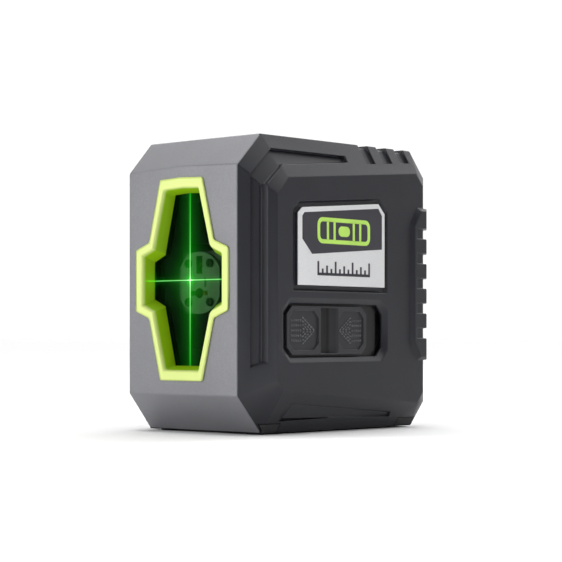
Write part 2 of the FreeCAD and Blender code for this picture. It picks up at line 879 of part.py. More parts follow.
def make_housings():
    """Both casing halves: shells from one shape, then what only one side has."""
    s = size
    raised, sunk = make_side_relief()
    outside = join("half_outside", casing("half_block", 0), *raised)
    cavity = casing("half_cavity", s.wall.value)
    rear_x = s.rim_x + s.rim_flare * s.chamfer_depth
    cover_room = prism("cover_room", "XY", [
        (-1, back(-2)), (s.rim_x - s.rim_flare * 2, back(-2)), (rear_x, back(s.chamfer_depth)),
        (-1, back(s.chamfer_depth)),
    ], -5, 95)
    cover_slope = along_side("cover_slope", [
        (-3, -10), (-3, 95), (s.chamfer_depth, 95), *cover_inner_face(), (s.chamfer_depth, -10),
    ], -2, 30)
    cover_space = overlap("cover_space", cover_room, cover_slope)
    foot_room = join("foot_room_right", *foot_blocks("foot_room", 0))
    door_room = box("door_room", (-1, s.door_x + s.door_gap),
                    (back(s.full_depth - 3), back(s.full_depth + 3)),
                    (s.door_axis_z - s.door_hinge_r - s.door_gap, s.door_high + s.door_gap))
    door_pin_room = rod("door_pin_room", "X", s.door_pin_r + 0.02,
                        (s.door_x, back(s.door_axis_depth), s.door_axis_z), s.door_pin_out + 0.3)
    insert_room = join("insert_room",
                       rod("insert_hole", "Z", s.insert_r - 0.2, (0, back(s.insert_depth), -1), 12),
                       rod("insert_seat", "Z", s.insert_flange_r, (0, back(s.insert_depth), -1),
                           s.lift + 1 + 1.2))
    split = box("split_gap", (-30, s.seam), (-60, 60), (-5, 95))
    shell = cut("half_shell", outside, cavity, cover_space, *sunk)
    posts = []
    for index, (depth, z) in enumerate(case_screw_spots()):
        posts.append(rod(f"case_post_{index + 1}", "X", s.post_r, (0, back(depth), z), 27))
    floor_posts = []
    for index, (x, depth) in enumerate(chassis_screw_spots()):
        floor_posts.append(rod(f"floor_post_{index + 1}", "Z", s.post_r, (x, back(depth), s.lift + 1),
                               s.chassis_floor - s.lift - 1))
    insert_boss = rod("insert_boss", "Z", s.insert_r + 1.6, (0, back(s.insert_depth), s.lift + 1),
                      s.insert_length - 1)
    hinge_lug = box("hinge_lug", (s.door_x + s.door_gap, s.door_x + 3.2),
                    (back(s.full_depth - 3.2), back(s.full_depth - 1)),
                    (s.door_axis_z - 2.2, s.door_axis_z + 2.2))
    inner = overlap("half_posts", join("half_posts_whole", *posts, *floor_posts, insert_boss, hinge_lug),
                    casing("post_limit", s.wall.value - s.post_bite.value))
    half = cut("half_case", join("half_case_whole", shell, inner), foot_room, door_room, door_pin_room,
               insert_room, split)
    left_source = mirrored("half_case_left", half)

    right_tools = []
    left_tools = []
    for index, (depth, z) in enumerate(case_screw_spots()):
        right_tools.append(rod(f"case_pilot_{index + 1}", "X", s.pilot_r, (-1, back(depth), z), 12))
        left_tools.append(rod(f"case_through_{index + 1}", "X", s.screw_r + 0.2, (-40, back(depth), z), 41))
        left_tools.append(rod(f"case_counterbore_{index + 1}", "X", s.screw_head_r + 0.25,
                              (-40, back(depth), z), 22))
    for index, (x, depth) in enumerate(chassis_screw_spots()):
        right_tools.append(rod(f"floor_pilot_{index + 1}", "Z", s.pilot_r,
                               (x, back(depth), s.chassis_floor - 6), 7))
        left_tools.append(rod(f"floor_pilot_left_{index + 1}", "Z", s.pilot_r,
                              (0 - x, back(depth), s.chassis_floor - 6), 7))
    right_tools += make_switch_opening()
    right_tools.append(make_label_recess())
    part("housing_right", cut("housing_right_cut", half, *right_tools))
    part("housing_left", cut("housing_left_cut", left_source, *left_tools))


def chassis_screw_spots():
    """(x, depth) of the chassis screws on the right side; the left side mirrors them."""
    return [(14.0, 17.5), (14.0, 51.5)]


def make_switch_opening():
    """The slot for the slide switch with its bevelled surround, and the posts' room."""
    s = size
    margin = s.slot_bevel
    outer = octagon(back(s.slot_front - margin), back(s.slot_rear + margin), s.slot_low - margin,
                    s.slot_high + margin, s.slot_corner + margin * 0.4)
    inner = octagon(back(s.slot_front), back(s.slot_rear), s.slot_low, s.slot_high, s.slot_corner)
    slot = prism("switch_slot", "YZ", inner, 24, 40)
    bevel = loft("switch_bevel", "YZ", inner, s.side_x - s.slot_bevel_sink, outer, s.side_x + 0.001)
    return [slot, bevel]


def label_outline(margin):
    """The label's outline: a level foot, a top that climbs to the back, both top corners cut."""
    s = size
    half = margin * 0.5
    return [
        (back(s.label_front - margin), s.label_low - margin),
        (back(s.label_rear + margin), s.label_low - margin),
        (back(s.label_rear + margin), s.label_rear_high + half),
        (back(s.label_rear - s.label_rear_cut + half), s.label_top_rear + margin),
        (back(s.label_front + s.label_front_cut - half), s.label_top_front + margin),
        (back(s.label_front - margin), s.label_front_high + half),
    ]


def make_label_recess():
    """The trough round the label: steep outer walls, and an upright pad left standing in the middle."""
    s = size
    trough = loft("label_trough", "YZ", label_outline(s.moat_floor), s.side_x - s.moat_depth,
                  label_outline(s.moat_width), s.side_x + 0.001)
    pad = prism("label_pad", "YZ", label_outline(0), s.side_x - s.moat_depth - 0.5, s.side_x + 1)
    return cut("label_recess", trough, pad)


def make_label():
    part("label_plate", prism("label_plate_pad", "YZ", label_outline(-0.05), size.side_x,
                              size.side_x + size.label_thick))


def foot_blocks(name, shrink):
    """The room of one front and one rear corner foot on the right side."""
    s = size
    blocks = []
    spans = {
        "front": [(s.foot_inner_x, s.chamfer_depth + 0.15, s.foot_front + s.foot_depth),
                  (s.rim_x + 0.75, s.foot_front, s.foot_front + s.foot_depth)],
        "rear": [(s.foot_inner_x, s.floor_rear - s.foot_depth, s.floor_rear + 0.8)],
    }
    for end, boxes in spans.items():
        for index, (inner_x, front, rear) in enumerate(boxes):
            blocks.append(box(f"{name}_{end}_{index + 1}", (inner_x + shrink, 32),
                              (back(front + shrink), back(rear - shrink)), (-2, s.foot_high - shrink)))
    return blocks


def make_feet():
    """Four soft corner feet let into the casing, with pads that stand on the table."""
    s = size
    skin = overlap("feet_skin", join("feet_blocks", *foot_blocks("foot", 0.06)), casing("feet_limit", 0))
    keep = cut("feet_hollow", skin, box("feet_trim", (s.foot_inner_x - 1, 32), (-60, 60), (s.foot_high, 6)))
    pads = []
    for name, depth in (("front", s.foot_front + s.foot_depth / 2 + 0.8),
                        ("rear", s.floor_rear - s.foot_depth / 2)):
        pads.append(rod(f"foot_pad_{name}", "Z", 2.6, (s.foot_inner_x + 4, back(depth), 0), 2))
    right = join("feet_right", keep, *pads)
    part("corner_feet", group("corner_feet_all", [right, mirrored("feet_left", right)]))


# ---------------------------------------------------------------- slide switch
def make_slider():
    """The thumb slide: two pads either side of a sloped channel, on a flange that runs inside the wall."""
    s = size
    gap = s.slider_gap
    flange_high_x = s.side_x - s.wall - gap
    low = s.slot_low + s.slider_side_gap
    high = s.slot_high - s.slider_side_gap
    cap = prism("slider_cap", "YZ",
                octagon(back(s.slider_front), back(s.slider_rear), low, high, s.slider_corner),
                flange_high_x - 0.5, s.slider_face_x)
    flange = box("slider_flange", (flange_high_x - s.flange_thick, flange_high_x),
                 (back(s.flange_front), back(s.flange_rear)), (s.flange_low, s.flange_high))
    channel = prism("slider_channel", "XY", [
        (s.slider_channel_floor, back(s.slider_channel_front + 0.8)),
        (s.slider_channel_floor, back(s.slider_channel_foot)),
        (s.slider_face_x + 0.01, back(s.slider_channel_rear)),
        (s.slider_face_x + 0.01, back(s.slider_channel_front)),
    ], low + s.slider_lip, high - s.slider_lip)
    pad_low = s.slot_low + s.pad_rim_z
    pad_high = s.slot_high - s.pad_rim_z
    pad_floor = s.slider_face_x - s.slider_pad_sink
    front_pad = prism("slider_front_pad", "YZ",
                      octagon(back(s.slider_front + s.pad_rim), back(s.slider_channel_front - s.pad_rim),
                              pad_low, pad_high, s.pad_corner), pad_floor, 40)
    rear_pad = prism("slider_rear_pad", "YZ",
                     octagon(back(s.slider_channel_rear + s.rear_pad_front_rim),
                             back(s.slider_rear - s.rear_pad_rear_rim), pad_low, pad_high, s.pad_corner),
                     pad_floor, 40)
    middle = (s.slot_low + s.slot_high) / 2
    pin = rod("slider_drive_pin", "X", s.drive_pin_r, (s.drive_pin_x, back(s.drive_pin_depth), middle),
              flange_high_x - s.drive_pin_x - 0.5)
    fork_x = (s.fork_low_x, flange_high_x - 0.5)
    fork_z = (middle - s.fork_half, middle + s.fork_half)
    ahead = s.knob_front - s.fork_gap
    behind = s.knob_front + s.knob_long + s.fork_gap
    fork_front = box("slider_fork_front", fork_x, (back(ahead - s.fork_thick), back(ahead)), fork_z)
    fork_rear = box("slider_fork_rear", fork_x, (back(behind), back(behind + s.fork_thick)), fork_z)
    body = join("slider_body", cap, flange, pin, fork_front, fork_rear)
    part("slide_switch", cut("slide_switch_cut", body, channel, front_pad, rear_pad))


def make_retainer():
    """The plate that holds the slide against the wall, its four posts' screws and the switch board on it."""
    s = size
    flange_low_x = s.side_x - s.wall - s.slider_gap - s.flange_thick
    high_x = flange_low_x - s.retainer_gap
    low_x = high_x - s.retainer_thick
    middle = (s.slot_low + s.slot_high) / 2
    plate = box("retainer_plate", (low_x, high_x), (back(s.retainer_front), back(s.retainer_rear)),
                (s.flange_low - s.retainer_border, s.flange_high + s.retainer_border))
    pin_room = s.drive_pin_r + 0.75
    pin_slot = box("retainer_pin_slot", (20, 30), (back(s.drive_pin_depth - pin_room),
                                                   back(s.drive_pin_depth + s.switch_travel + pin_room)),
                   (middle - pin_room, middle + pin_room))
    fork_reach = s.fork_gap + s.fork_thick + 1
    fork_slot = box("retainer_fork_slot", (20, 30),
                    (back(s.knob_front - fork_reach), back(s.knob_front + s.knob_long + fork_reach
                                                           + s.switch_travel)),
                    (middle - s.fork_half - 0.6, middle + s.fork_half + 0.6))
    spots = [(depth, z) for z in (s.flange_low - s.retainer_post_out, s.flange_high + s.retainer_post_out)
             for depth in (s.retainer_post_front, s.retainer_post_rear)]
    posts = []
    screws = []
    holes = []
    for index, (depth, z) in enumerate(spots):
        posts.append(rod(f"retainer_post_{index + 1}", "X", s.retainer_post_r,
                         (high_x - 0.2, back(depth), z), s.side_x - s.wall - high_x + 0.2))
        holes.append(rod(f"retainer_hole_{index + 1}", "X", s.retainer_screw_r + 0.15,
                         (low_x - 1, back(depth), z), s.retainer_screw_length + 1.1))
        screws.append(screw(f"retainer_screw_{index + 1}", "X", (low_x, back(depth), z),
                            s.retainer_screw_length, s.small_head_r, s.retainer_screw_r))
    part("switch_retainer", cut("switch_retainer_cut", join("retainer_whole", plate, *posts), pin_slot,
                                fork_slot, *holes))
    part("retainer_screws", group("retainer_screws_all", screws))
    make_power_switch(low_x, middle)


def make_power_switch(retainer_x, middle):
    """The small board behind the retainer with the power switch and the knob that the slide's fork moves."""
    s = size
    board_high_x = s.switch_board_x + s.switch_board_thick
    half = s.switch_board_half
    board = box("switch_board_block", (s.switch_board_x, board_high_x),
                (back(s.switch_board_front), back(s.switch_board_rear)), (middle - half, middle + half))
    legs = []
    leg_fronts = (s.switch_board_front + 0.2, s.switch_board_rear - s.switch_board_leg - 0.2)
    for index, front in enumerate(leg_fronts):
        legs.append(box(f"switch_board_leg_{index + 1}", (board_high_x - 0.1, retainer_x),
                        (back(front), back(front + s.switch_board_leg)), (middle - 4.2, middle - 3.0)))
    part("switch_board", join("switch_board_whole", board, *legs))
    case = box("power_switch_case", (board_high_x, board_high_x + s.switch_case_thick),
               (back(s.switch_case_front), back(s.switch_case_rear)),
               (middle - s.switch_case_half, middle + s.switch_case_half))
    knob_rear = s.knob_front + s.knob_long
    room = s.knob_clearance
    knob_room = box("power_switch_room", (s.knob_low_x - room, s.knob_high_x),
                    (back(s.knob_front - room), back(knob_rear + room + s.switch_travel)),
                    (middle - s.knob_half - room, middle + s.knob_half + room))
    part("power_switch", cut("power_switch_cut", case, knob_room))
    part("power_switch_knob", box("power_switch_knob_block", (s.knob_low_x, s.knob_high_x),
                                  (back(s.knob_front), back(knob_rear)),
                                  (middle - s.knob_half, middle + s.knob_half)))


# ---------------------------------------------------------------- gimbal and pendulum
def make_chassis():
    """The die cast frame that carries the gimbal bearings, the magnets' yoke and the lock shaft."""
    s = size
    inner_x = s.chassis_x - s.chassis_thick
    floor_top = s.chassis_floor + s.chassis_plate
    front = back(s.chassis_front)
    rear = back(s.chassis_rear)
    across = (0 - s.chassis_x, s.chassis_x)
    floor = box("chassis_floor_plate", across, (front, rear), (s.chassis_floor, floor_top))
    sides = []
    for name, low in (("left", 0 - s.chassis_x), ("right", inner_x)):
        sides.append(box(f"chassis_side_{name}", (low, low + s.chassis_thick), (front, rear),
                         (s.chassis_floor, s.chassis_top)))
    roof = box("chassis_roof", across, (front, rear), (s.chassis_top - s.chassis_plate, s.chassis_top))
    bulkhead = box("chassis_bulkhead", across, (front, front + s.chassis_plate),
                   (s.chassis_floor, s.chassis_top))
    window = box("chassis_window", (0 - s.chassis_window_x, s.chassis_window_x), (front - 1, front + 3),
                 (s.weight_low - 4, s.chassis_top - 8))
    side_window = box("chassis_side_window", (-30, 30),
                      (back(s.pivot_depth - s.side_window_ahead),
                       back(s.pivot_depth + s.side_window_behind)),
                      (s.weight_low, s.pivot_z - s.side_window_drop))
    roof_window = box("chassis_roof_window", (0 - s.roof_window_x, s.roof_window_x),
                      (back(s.roof_window_front), back(s.roof_window_rear)),
                      (s.chassis_top - 4, s.chassis_top + 4))
    insert_window = rod("chassis_insert_window", "Z", s.insert_r + 2.2, (0, back(s.insert_depth), 5), 8)
    pivot = rod("chassis_pivot_bore", "X", s.bearing_r, (-30, back(s.pivot_depth), s.pivot_z), 60)
    lock = rod("chassis_lock_bore", "X", s.lock_shaft_r + s.running_gap,
               (-30, back(s.lock_axis_depth), s.lock_axis_z), 60)
    holes = []
    for index, (x, z) in enumerate(cover_screw_spots()):
        holes.append(rod(f"chassis_front_hole_{index + 1}", "Y", s.screw_r + 0.1, (x, back(10), z), 6))
    for index, (x, depth) in enumerate(chassis_screw_spots()):
        for sign in (1, -1):
            holes.append(rod(f"chassis_floor_hole_{index + 1}_{sign + 1}", "Z", s.screw_r + 0.1,
                             (sign * x, back(depth), 7), 5))
    frame = join("chassis_whole", floor, *sides, roof, bulkhead)
    windows = [window, side_window, roof_window, insert_window]
    part("chassis_frame", cut("chassis_cut", frame, *windows, pivot, lock, *holes))
    front_screws = [screw(f"cover_screw_{index + 1}", "-Y", (x, front + s.chassis_plate, z), 8)
                    for index, (x, z) in enumerate(cover_screw_spots())]
    part("front_cover_screws", group("front_cover_screws_all", front_screws))
    floor_screws = []
    for index, (x, depth) in enumerate(chassis_screw_spots()):
        for sign in (1, -1):
            floor_screws.append(screw(f"chassis_screw_{index + 1}_{sign + 1}", "-Z",
                                      (sign * x, back(depth), floor_top), 6))
    part("chassis_screws", group("chassis_screws_all", floor_screws))


def bearing(name, axis, start):
    """A miniature ball bearing: two races with a shielded dip between them."""
    s = size
    dip = 0.2
    low_r = s.bearing_bore + 0.5
    high_r = s.bearing_r - 0.5
    return turned(name, axis, [
        (s.bearing_bore, 0), (low_r, 0), (low_r, dip), (high_r, dip), (high_r, 0), (s.bearing_r, 0),
        (s.bearing_r, s.bearing_wide), (high_r, s.bearing_wide), (high_r, s.bearing_wide - dip),
        (low_r, s.bearing_wide - dip), (low_r, s.bearing_wide), (s.bearing_bore, s.bearing_wide),
    ], start)


def make_gimbal():
    """The cross that turns about X in the chassis and carries the pendulum's shaft along Y."""
    s = size
    inner_x = s.chassis_x - s.chassis_thick
    pivot_y = back(s.pivot_depth)
    part("pitch_bearings", group("pitch_bearings_all", [
        bearing("pitch_bearing_left", "X", (0 - s.chassis_x, pivot_y, s.pivot_z)),
        bearing("pitch_bearing_right", "X", (inner_x, pivot_y, s.pivot_z)),
    ]))
    block = box("cross_block", (0 - s.cross_half_x, s.cross_half_x),
                (pivot_y - s.cross_half_y, pivot_y + s.cross_half_y),
                (s.pivot_z - s.cross_half_z, s.pivot_z + s.cross_half_z))
    stub_r = s.bearing_bore - s.running_gap
    end_play = 0.3
    stub_end = s.chassis_x + end_play
    collar_end = inner_x - end_play
    stubs = rod("cross_stubs", "X", stub_r, (0 - stub_end, pivot_y, s.pivot_z), stub_end * 2)
    collars = rod("cross_collars", "X", stub_r + 0.8, (0 - collar_end, pivot_y, s.pivot_z), collar_end * 2)
    seat = rod("cross_bearing_bore", "Y", s.bearing_r, (0, pivot_y - 10, s.pivot_z), 20)
    part("gimbal_cross", cut("gimbal_cross_cut", join("gimbal_cross_whole", block, stubs, collars), seat))
    part("roll_bearings", group("roll_bearings_all", [
        bearing("roll_bearing_front", "Y", (0, pivot_y - s.cross_half_y, s.pivot_z)),
        bearing("roll_bearing_rear", "Y", (0, pivot_y + s.cross_half_y - s.bearing_wide, s.pivot_z)),
    ]))


def make_pendulum():
    """The weighted laser carrier: it hangs on the roll shaft and holds both beam modules."""
    s = size
    pivot_y = back(s.pivot_depth)
    hanger = s.cross_half_y + s.hanger_gap
    low_y = pivot_y - hanger - s.hanger_thick
    high_y = pivot_y + hanger
    block = box("weight_block", (0 - s.weight_half_x, s.weight_half_x),
                (back(s.weight_front), back(s.weight_rear)), (s.weight_low, s.weight_high))
    nose = box("weight_nose", (0 - s.nose_half_x, s.nose_half_x),
               (back(s.plate_front + s.plate_thick), back(s.weight_front + 1)),
               (s.plate_z - s.plate_r, s.plate_z + s.plate_r))
    hangers = []
    for name, low in (("front", low_y), ("rear", high_y)):
        hangers.append(box(f"hanger_{name}", (0 - s.hanger_half_x, s.hanger_half_x),
                           (low, low + s.hanger_thick), (s.weight_high - 1, s.pivot_z + 4)))
    shaft_hole = rod("hanger_bore", "Y", s.bearing_bore, (0, low_y - 1, s.pivot_z), 30)
    bores = []
    for name, z in (("lower", s.lower_beam_z), ("upper", s.upper_beam_z)):
        bores.append(rod(f"{name}_bore", "Y", s.barrel_r + 0.02, (0, back(5), z), 26))
    for index, (x, z) in enumerate(plate_screw_spots()):
        bores.append(rod(f"nose_pilot_{index + 1}", "Y", 0.63, (x, back(5), z), 9))
    trim_z = s.weight_low + s.trim_up
    trim_end = s.weight_half_x + 0.1
    bores.append(rod("trim_bore", "X", s.trim_r + 0.05, (0 - trim_end, back(s.trim_depth), trim_z),
                     trim_end * 2))
    whole = join("pendulum_whole", block, nose, *hangers)
    part("pendulum_weight", cut("pendulum_cut", whole, shaft_hole, *bores))
    part("roll_shaft", rod("roll_shaft_rod", "Y", s.bearing_bore - s.running_gap,
                           (0, low_y - 0.4, s.pivot_z), hanger * 2 + s.hanger_thick * 2 + 0.8))
    plate = rod("plate_disc", "Y", s.plate_r, (0, back(s.plate_front), s.plate_z), s.plate_thick)
    flats = box("plate_flats", (0 - s.nose_half_x, s.nose_half_x), (back(5), back(12)),
                (s.plate_z - s.plate_r - 1, s.plate_z + s.plate_r + 1))
    through = (back(5), back(12))
    openings = [
        rod("plate_aperture", "Y", s.aperture_r, (0, back(5), s.lower_beam_z), 6),
        box("plate_level_slot", (0 - s.level_slot_half_x, s.level_slot_half_x), through,
            (s.lower_beam_z - s.level_slot_half_z, s.lower_beam_z + s.level_slot_half_z)),
        box("plate_upright_slot", (0 - s.upright_slot_half_x, s.upright_slot_half_x), through,
            (s.upper_beam_z - s.upright_slot_half_z, s.upper_beam_z + s.upright_slot_half_z)),
        box("plate_key", (s.key_low_x, s.key_high_x), (back(5), back(s.plate_front + 0.5)),
            (s.lower_beam_z + s.key_rise, s.plate_z + 1.4)),
    ]
    for index, (x, z) in enumerate(plate_screw_spots()):
        openings.append(rod(f"plate_hole_{index + 1}", "Y", 0.85, (x, back(5), z), 6))
    blank = overlap("front_plate_blank", plate, flats)
    part("pendulum_front_plate", cut("front_plate_cut", blank, *openings))
    screws = [screw(f"plate_screw_{index + 1}", "Y", (x, back(s.plate_front), z), 5.5,
                    as_size(1.25), as_size(0.6))
              for index, (x, z) in enumerate(plate_screw_spots())]
    part("front_plate_screws", group("front_plate_screws_all", screws))
    trims = []
    for sign, way in ((-1, "-X"), (1, "X")):
        trims.append(turned(f"trim_screw_{way}", way, [
            (0, 0), (s.trim_r, 0), (s.trim_r, s.trim_length), (0, s.trim_length),
        ], (s.trim_x * sign, back(s.trim_depth), trim_z)))
    part("trim_screws", group("trim_screws_all", trims))
    part("damping_disc", turned("damping_disc_turn", "Z", [
        (0, 0), (s.disc_r - s.disc_bevel, 0), (s.disc_r, s.disc_bevel), (s.disc_r, s.disc_thick),
        (0, s.disc_thick),
    ], (0, pivot_y, s.weight_low - s.disc_thick)))


def plate_screw_spots():
    s = size
    return [(x * s.plate_screw_x, s.plate_z + z * s.plate_screw_z) for x in (-1, 1) for z in (-1, 1)]


def make_beam_modules():
    """Two diode barrels and the rod lenses that spread their beams into an upright and a level line."""
    s = size
    lens_depth = s.plate_front + s.plate_thick + s.lens_behind
    for name, z, lens_axis in (("level_line", s.lower_beam_z, "Z"), ("upright_line", s.upper_beam_z, "X")):
        start = (0, back(lens_depth + 1.4), z)
        r = s.barrel_r
        part(f"{name}_module", turned(f"{name}_barrel", "Y", [
            (0, 0.8), (1.4, 0.8), (1.4, 0), (r, 0), (r, s.barrel_length - 1),
            (r - 0.4, s.barrel_length - 0.6), (1.6, s.barrel_length - 0.6), (1.6, s.barrel_length),
            (0, s.barrel_length),
        ], start))
        half = s.lens_half
        middle = back(lens_depth)
        if lens_axis == "Z":
            lens = rod(f"{name}_lens_rod", "Z", s.lens_r, (0, middle, z - half), half * 2)
        else:
            lens = rod(f"{name}_lens_rod", "X", s.lens_r, (0 - half, middle, z), half * 2)
        part(f"{name}_lens", lens)


def make_damping():
    """Magnets on a steel yoke under the disc, with a slot between them for the lock finger."""
    s = size
    pivot_y = back(s.pivot_depth)
    inner_x = s.chassis_x - s.chassis_thick
    plate = box("yoke_plate", (0 - inner_x, inner_x), (pivot_y - s.yoke_half_y, pivot_y + s.yoke_half_y),
                (s.yoke_low, s.yoke_low + s.yoke_thick))
    slot = box("yoke_slot", (0 - s.yoke_slot_x, s.yoke_slot_x),
               (pivot_y - s.yoke_slot_front, pivot_y + s.yoke_half_y + 1), (s.yoke_low - 1, s.yoke_low + 3))
    chassis_floor = s.chassis_floor + s.chassis_plate
    legs = []
    corners = [(-1, -1), (1, -1), (-1, 1), (1, 1)]
    for index, (x, y) in enumerate(corners):
        legs.append(rod(f"yoke_leg_{index + 1}", "Z", s.yoke_leg_r,
                        (s.yoke_leg_x * x, pivot_y + s.yoke_leg_y * y, chassis_floor),
                        s.yoke_low - chassis_floor + 0.2))
    part("magnet_yoke", join("magnet_yoke_whole", cut("yoke_cut", plate, slot), *legs))
    magnets = []
    for index, (x, y) in enumerate(corners):
        r = s.magnet_r
        high = s.magnet_high
        magnets.append(turned(f"magnet_{index + 1}", "Z", [
            (0, 0), (r - 0.2, 0), (r, 0.2), (r, high - 0.2), (r - 0.2, high), (0, high),
        ], (x * s.magnet_x, pivot_y + y * s.magnet_y, s.yoke_low + s.yoke_thick)))
    part("damping_magnets", group("damping_magnets_all", magnets))


def make_lock():
    """The lock: a cross shaft whose outer arm follows the slide and whose finger lifts a pad at the disc."""
    s = size
    axis_y = back(s.lock_axis_depth)
    z = s.lock_axis_z
    shaft = rod("lock_shaft_rod", "X", s.lock_shaft_r, (0 - s.chassis_x - 0.8, axis_y, z),
                s.chassis_x + 0.8 + s.arm_high_x)
    middle = (s.slot_low + s.slot_high) / 2
    arm = box("lock_arm", (s.arm_low_x, s.arm_high_x), (axis_y - s.arm_half, axis_y + s.arm_half),
              (z - s.arm_half, middle + s.arm_rise))
    fork_half = s.drive_pin_r + s.fork_room
    fork = box("lock_fork_room", (s.arm_low_x - 1, s.arm_high_x + 1),
               (axis_y - fork_half, axis_y + fork_half),
               (middle - 3.4, middle + s.arm_rise + 1.5))
    finger = box("lock_finger_bar", (0 - s.finger_half_x, s.finger_half_x),
                 (axis_y - s.finger_length, axis_y), (z - s.finger_half_z, z + s.finger_half_z))
    hub = rod("lock_hub", "X", s.lock_shaft_r + 1.1, (0 - s.hub_half_x, axis_y, z),
              s.hub_half_x * 2)
    part("lock_lever", join("lock_lever_whole", shaft, cut("lock_arm_cut", arm, fork), hub, finger))
    tip_y = axis_y - s.finger_length
    sleeve = rod("lock_pad_rod", "X", s.pad_r, (-2.8, tip_y, z), 5.6)
    core = box("lock_pad_core", (0 - s.finger_half_x, s.finger_half_x), (tip_y, tip_y + 4),
               (z - s.finger_half_z, z + s.finger_half_z))
    part("lock_pad", cut("lock_pad_cut", sleeve, core))


# ---------------------------------------------------------------- power and electronics
def make_power():
    """The cell tray, two AA cells, their contacts, the hinged rear door and its pin."""
    s = size
    wall = s.tray_wall
    shell = box("tray_shell", (0 - s.tray_x, s.tray_x), (back(s.tray_front), back(s.tray_rear)),
                (s.tray_low, s.tray_high))
    room = box("tray_room", (wall - s.tray_x, s.tray_x - wall),
               (back(s.tray_front + wall), back(s.tray_rear + 2)), (s.tray_low + wall, s.tray_high - wall))
    spine = box("tray_spine", (-0.5, 0.5), (back(s.tray_front), back(s.tray_front + 5)),
                (s.tray_low, s.tray_high))
    part("battery_tray", join("battery_tray_whole", cut("tray_cut", shell, room), spine))
    cells = []
    springs = []
    plates = []
    r = s.cell_r
    high = s.cell_length
    for sign, way in ((-1, "Z"), (1, "-Z")):
        foot = s.cell_low if way == "Z" else s.tray_high + s.tray_low - s.cell_low
        cells.append(turned(f"cell_{way}", way, [
            (0, 0), (r - 0.9, 0), (r, 0.6), (r, high - 2.2), (r - 0.8, high - 1.4), (2.75, high - 1.4),
            (2.75, high - 0.3), (2.45, high), (0, high),
        ], (s.cell_x * sign, back(s.cell_depth), foot)))
        spring_way = 1 if way == "Z" else -1
        seat = s.tray_low + wall if way == "Z" else s.tray_high - wall
        other = s.tray_high - wall if way == "Z" else s.tray_low + wall
        plates.append(contact_plate(f"spring_plate_{way}", sign, seat, spring_way))
        plates.append(contact_plate(f"button_plate_{way}", sign, other, 0 - spring_way))
        for turn in range(3):
            ring = doc.addObject("Part::Torus", f"spring_ring_{way}_{turn + 1}")
            bind(ring, "Radius1", s.spring_r - s.spring_taper * turn)
            bind(ring, "Radius2", s.spring_wire)
            lift = s.contact_thick + s.spring_wire + 0.02 + s.spring_pitch * turn
            place(ring, s.cell_x * sign, back(s.cell_depth), seat + lift * spring_way)
            springs.append(ring)
    part("battery_cells", group("battery_cells_all", cells))
    part("battery_contacts", group("battery_contacts_all", plates))
    part("battery_springs", group("battery_springs_all", springs))


def contact_plate(name, sign, seat, way):
    """A nickel plated contact on the tray's end wall; way is +1 when it faces up."""
    s = size
    half = s.contact_half
    low = seat if way > 0 else seat - s.contact_thick
    return box(name, (s.cell_x * sign - half, s.cell_x * sign + half),
               (back(s.cell_depth - half), back(s.cell_depth + half)), (low, low + s.contact_thick))


def make_door():
    """The rear battery door, hinged along its lower edge, and its pin."""
    s = size
    axis_y = back(s.door_axis_depth)
    half = s.door_x
    outer = back(s.full_depth)
    proud = back(s.full_depth + s.grip_proud)
    leaf = prism("door_leaf", "YZ", [
        (back(s.door_inner), s.door_axis_z), (outer, s.door_axis_z), (outer, s.door_panel_low - 1),
        (outer, s.door_high), (back(s.door_inner), s.door_high),
    ], 0 - half, half)
    rise = s.grip_proud
    inner_half = half - s.door_panel_inset
    panel_high = s.door_high - 0.6
    corner = s.door_panel_corner
    panel = loft("door_panel", "XZ",
                 octagon(0 - inner_half + rise, inner_half - rise, s.door_panel_low + rise, panel_high - rise,
                         corner), proud,
                 octagon(0 - inner_half, inner_half, s.door_panel_low, panel_high, corner + rise * 0.6), outer)
    barrel = rod("door_barrel", "X", s.door_hinge_r, (0 - half, axis_y, s.door_axis_z), half * 2)
    bore = rod("door_bore", "X", s.door_pin_r + 0.05, (-30, axis_y, s.door_axis_z), 60)
    ridges = []
    for step in range(5):
        low = s.door_ridge_low + s.door_ridge_pitch * step
        ridges.append(box(f"door_ridge_{step + 1}", (0 - s.door_ridge_x, s.door_ridge_x),
                          (proud - 0.5, proud + 1), (low, low + s.door_ridge_high)))
    pads = []
    for sign in (-1, 1):
        pads.append(box(f"door_rib_{sign + 1}", (sign * s.cell_x - 0.6, sign * s.cell_x + 0.6),
                        (back(s.door_inner - 0.35), back(s.door_inner + 0.1)),
                        (s.door_rib_low, s.door_rib_high)))
    whole = join("battery_door_whole", leaf, panel, barrel, *pads)
    part("battery_door", cut("battery_door_cut", whole, bore, *ridges))
    pin_end = half + s.door_pin_out
    part("door_hinge_pin", rod("door_pin_rod", "X", s.door_pin_r, (0 - pin_end, axis_y, s.door_axis_z),
                               pin_end * 2))


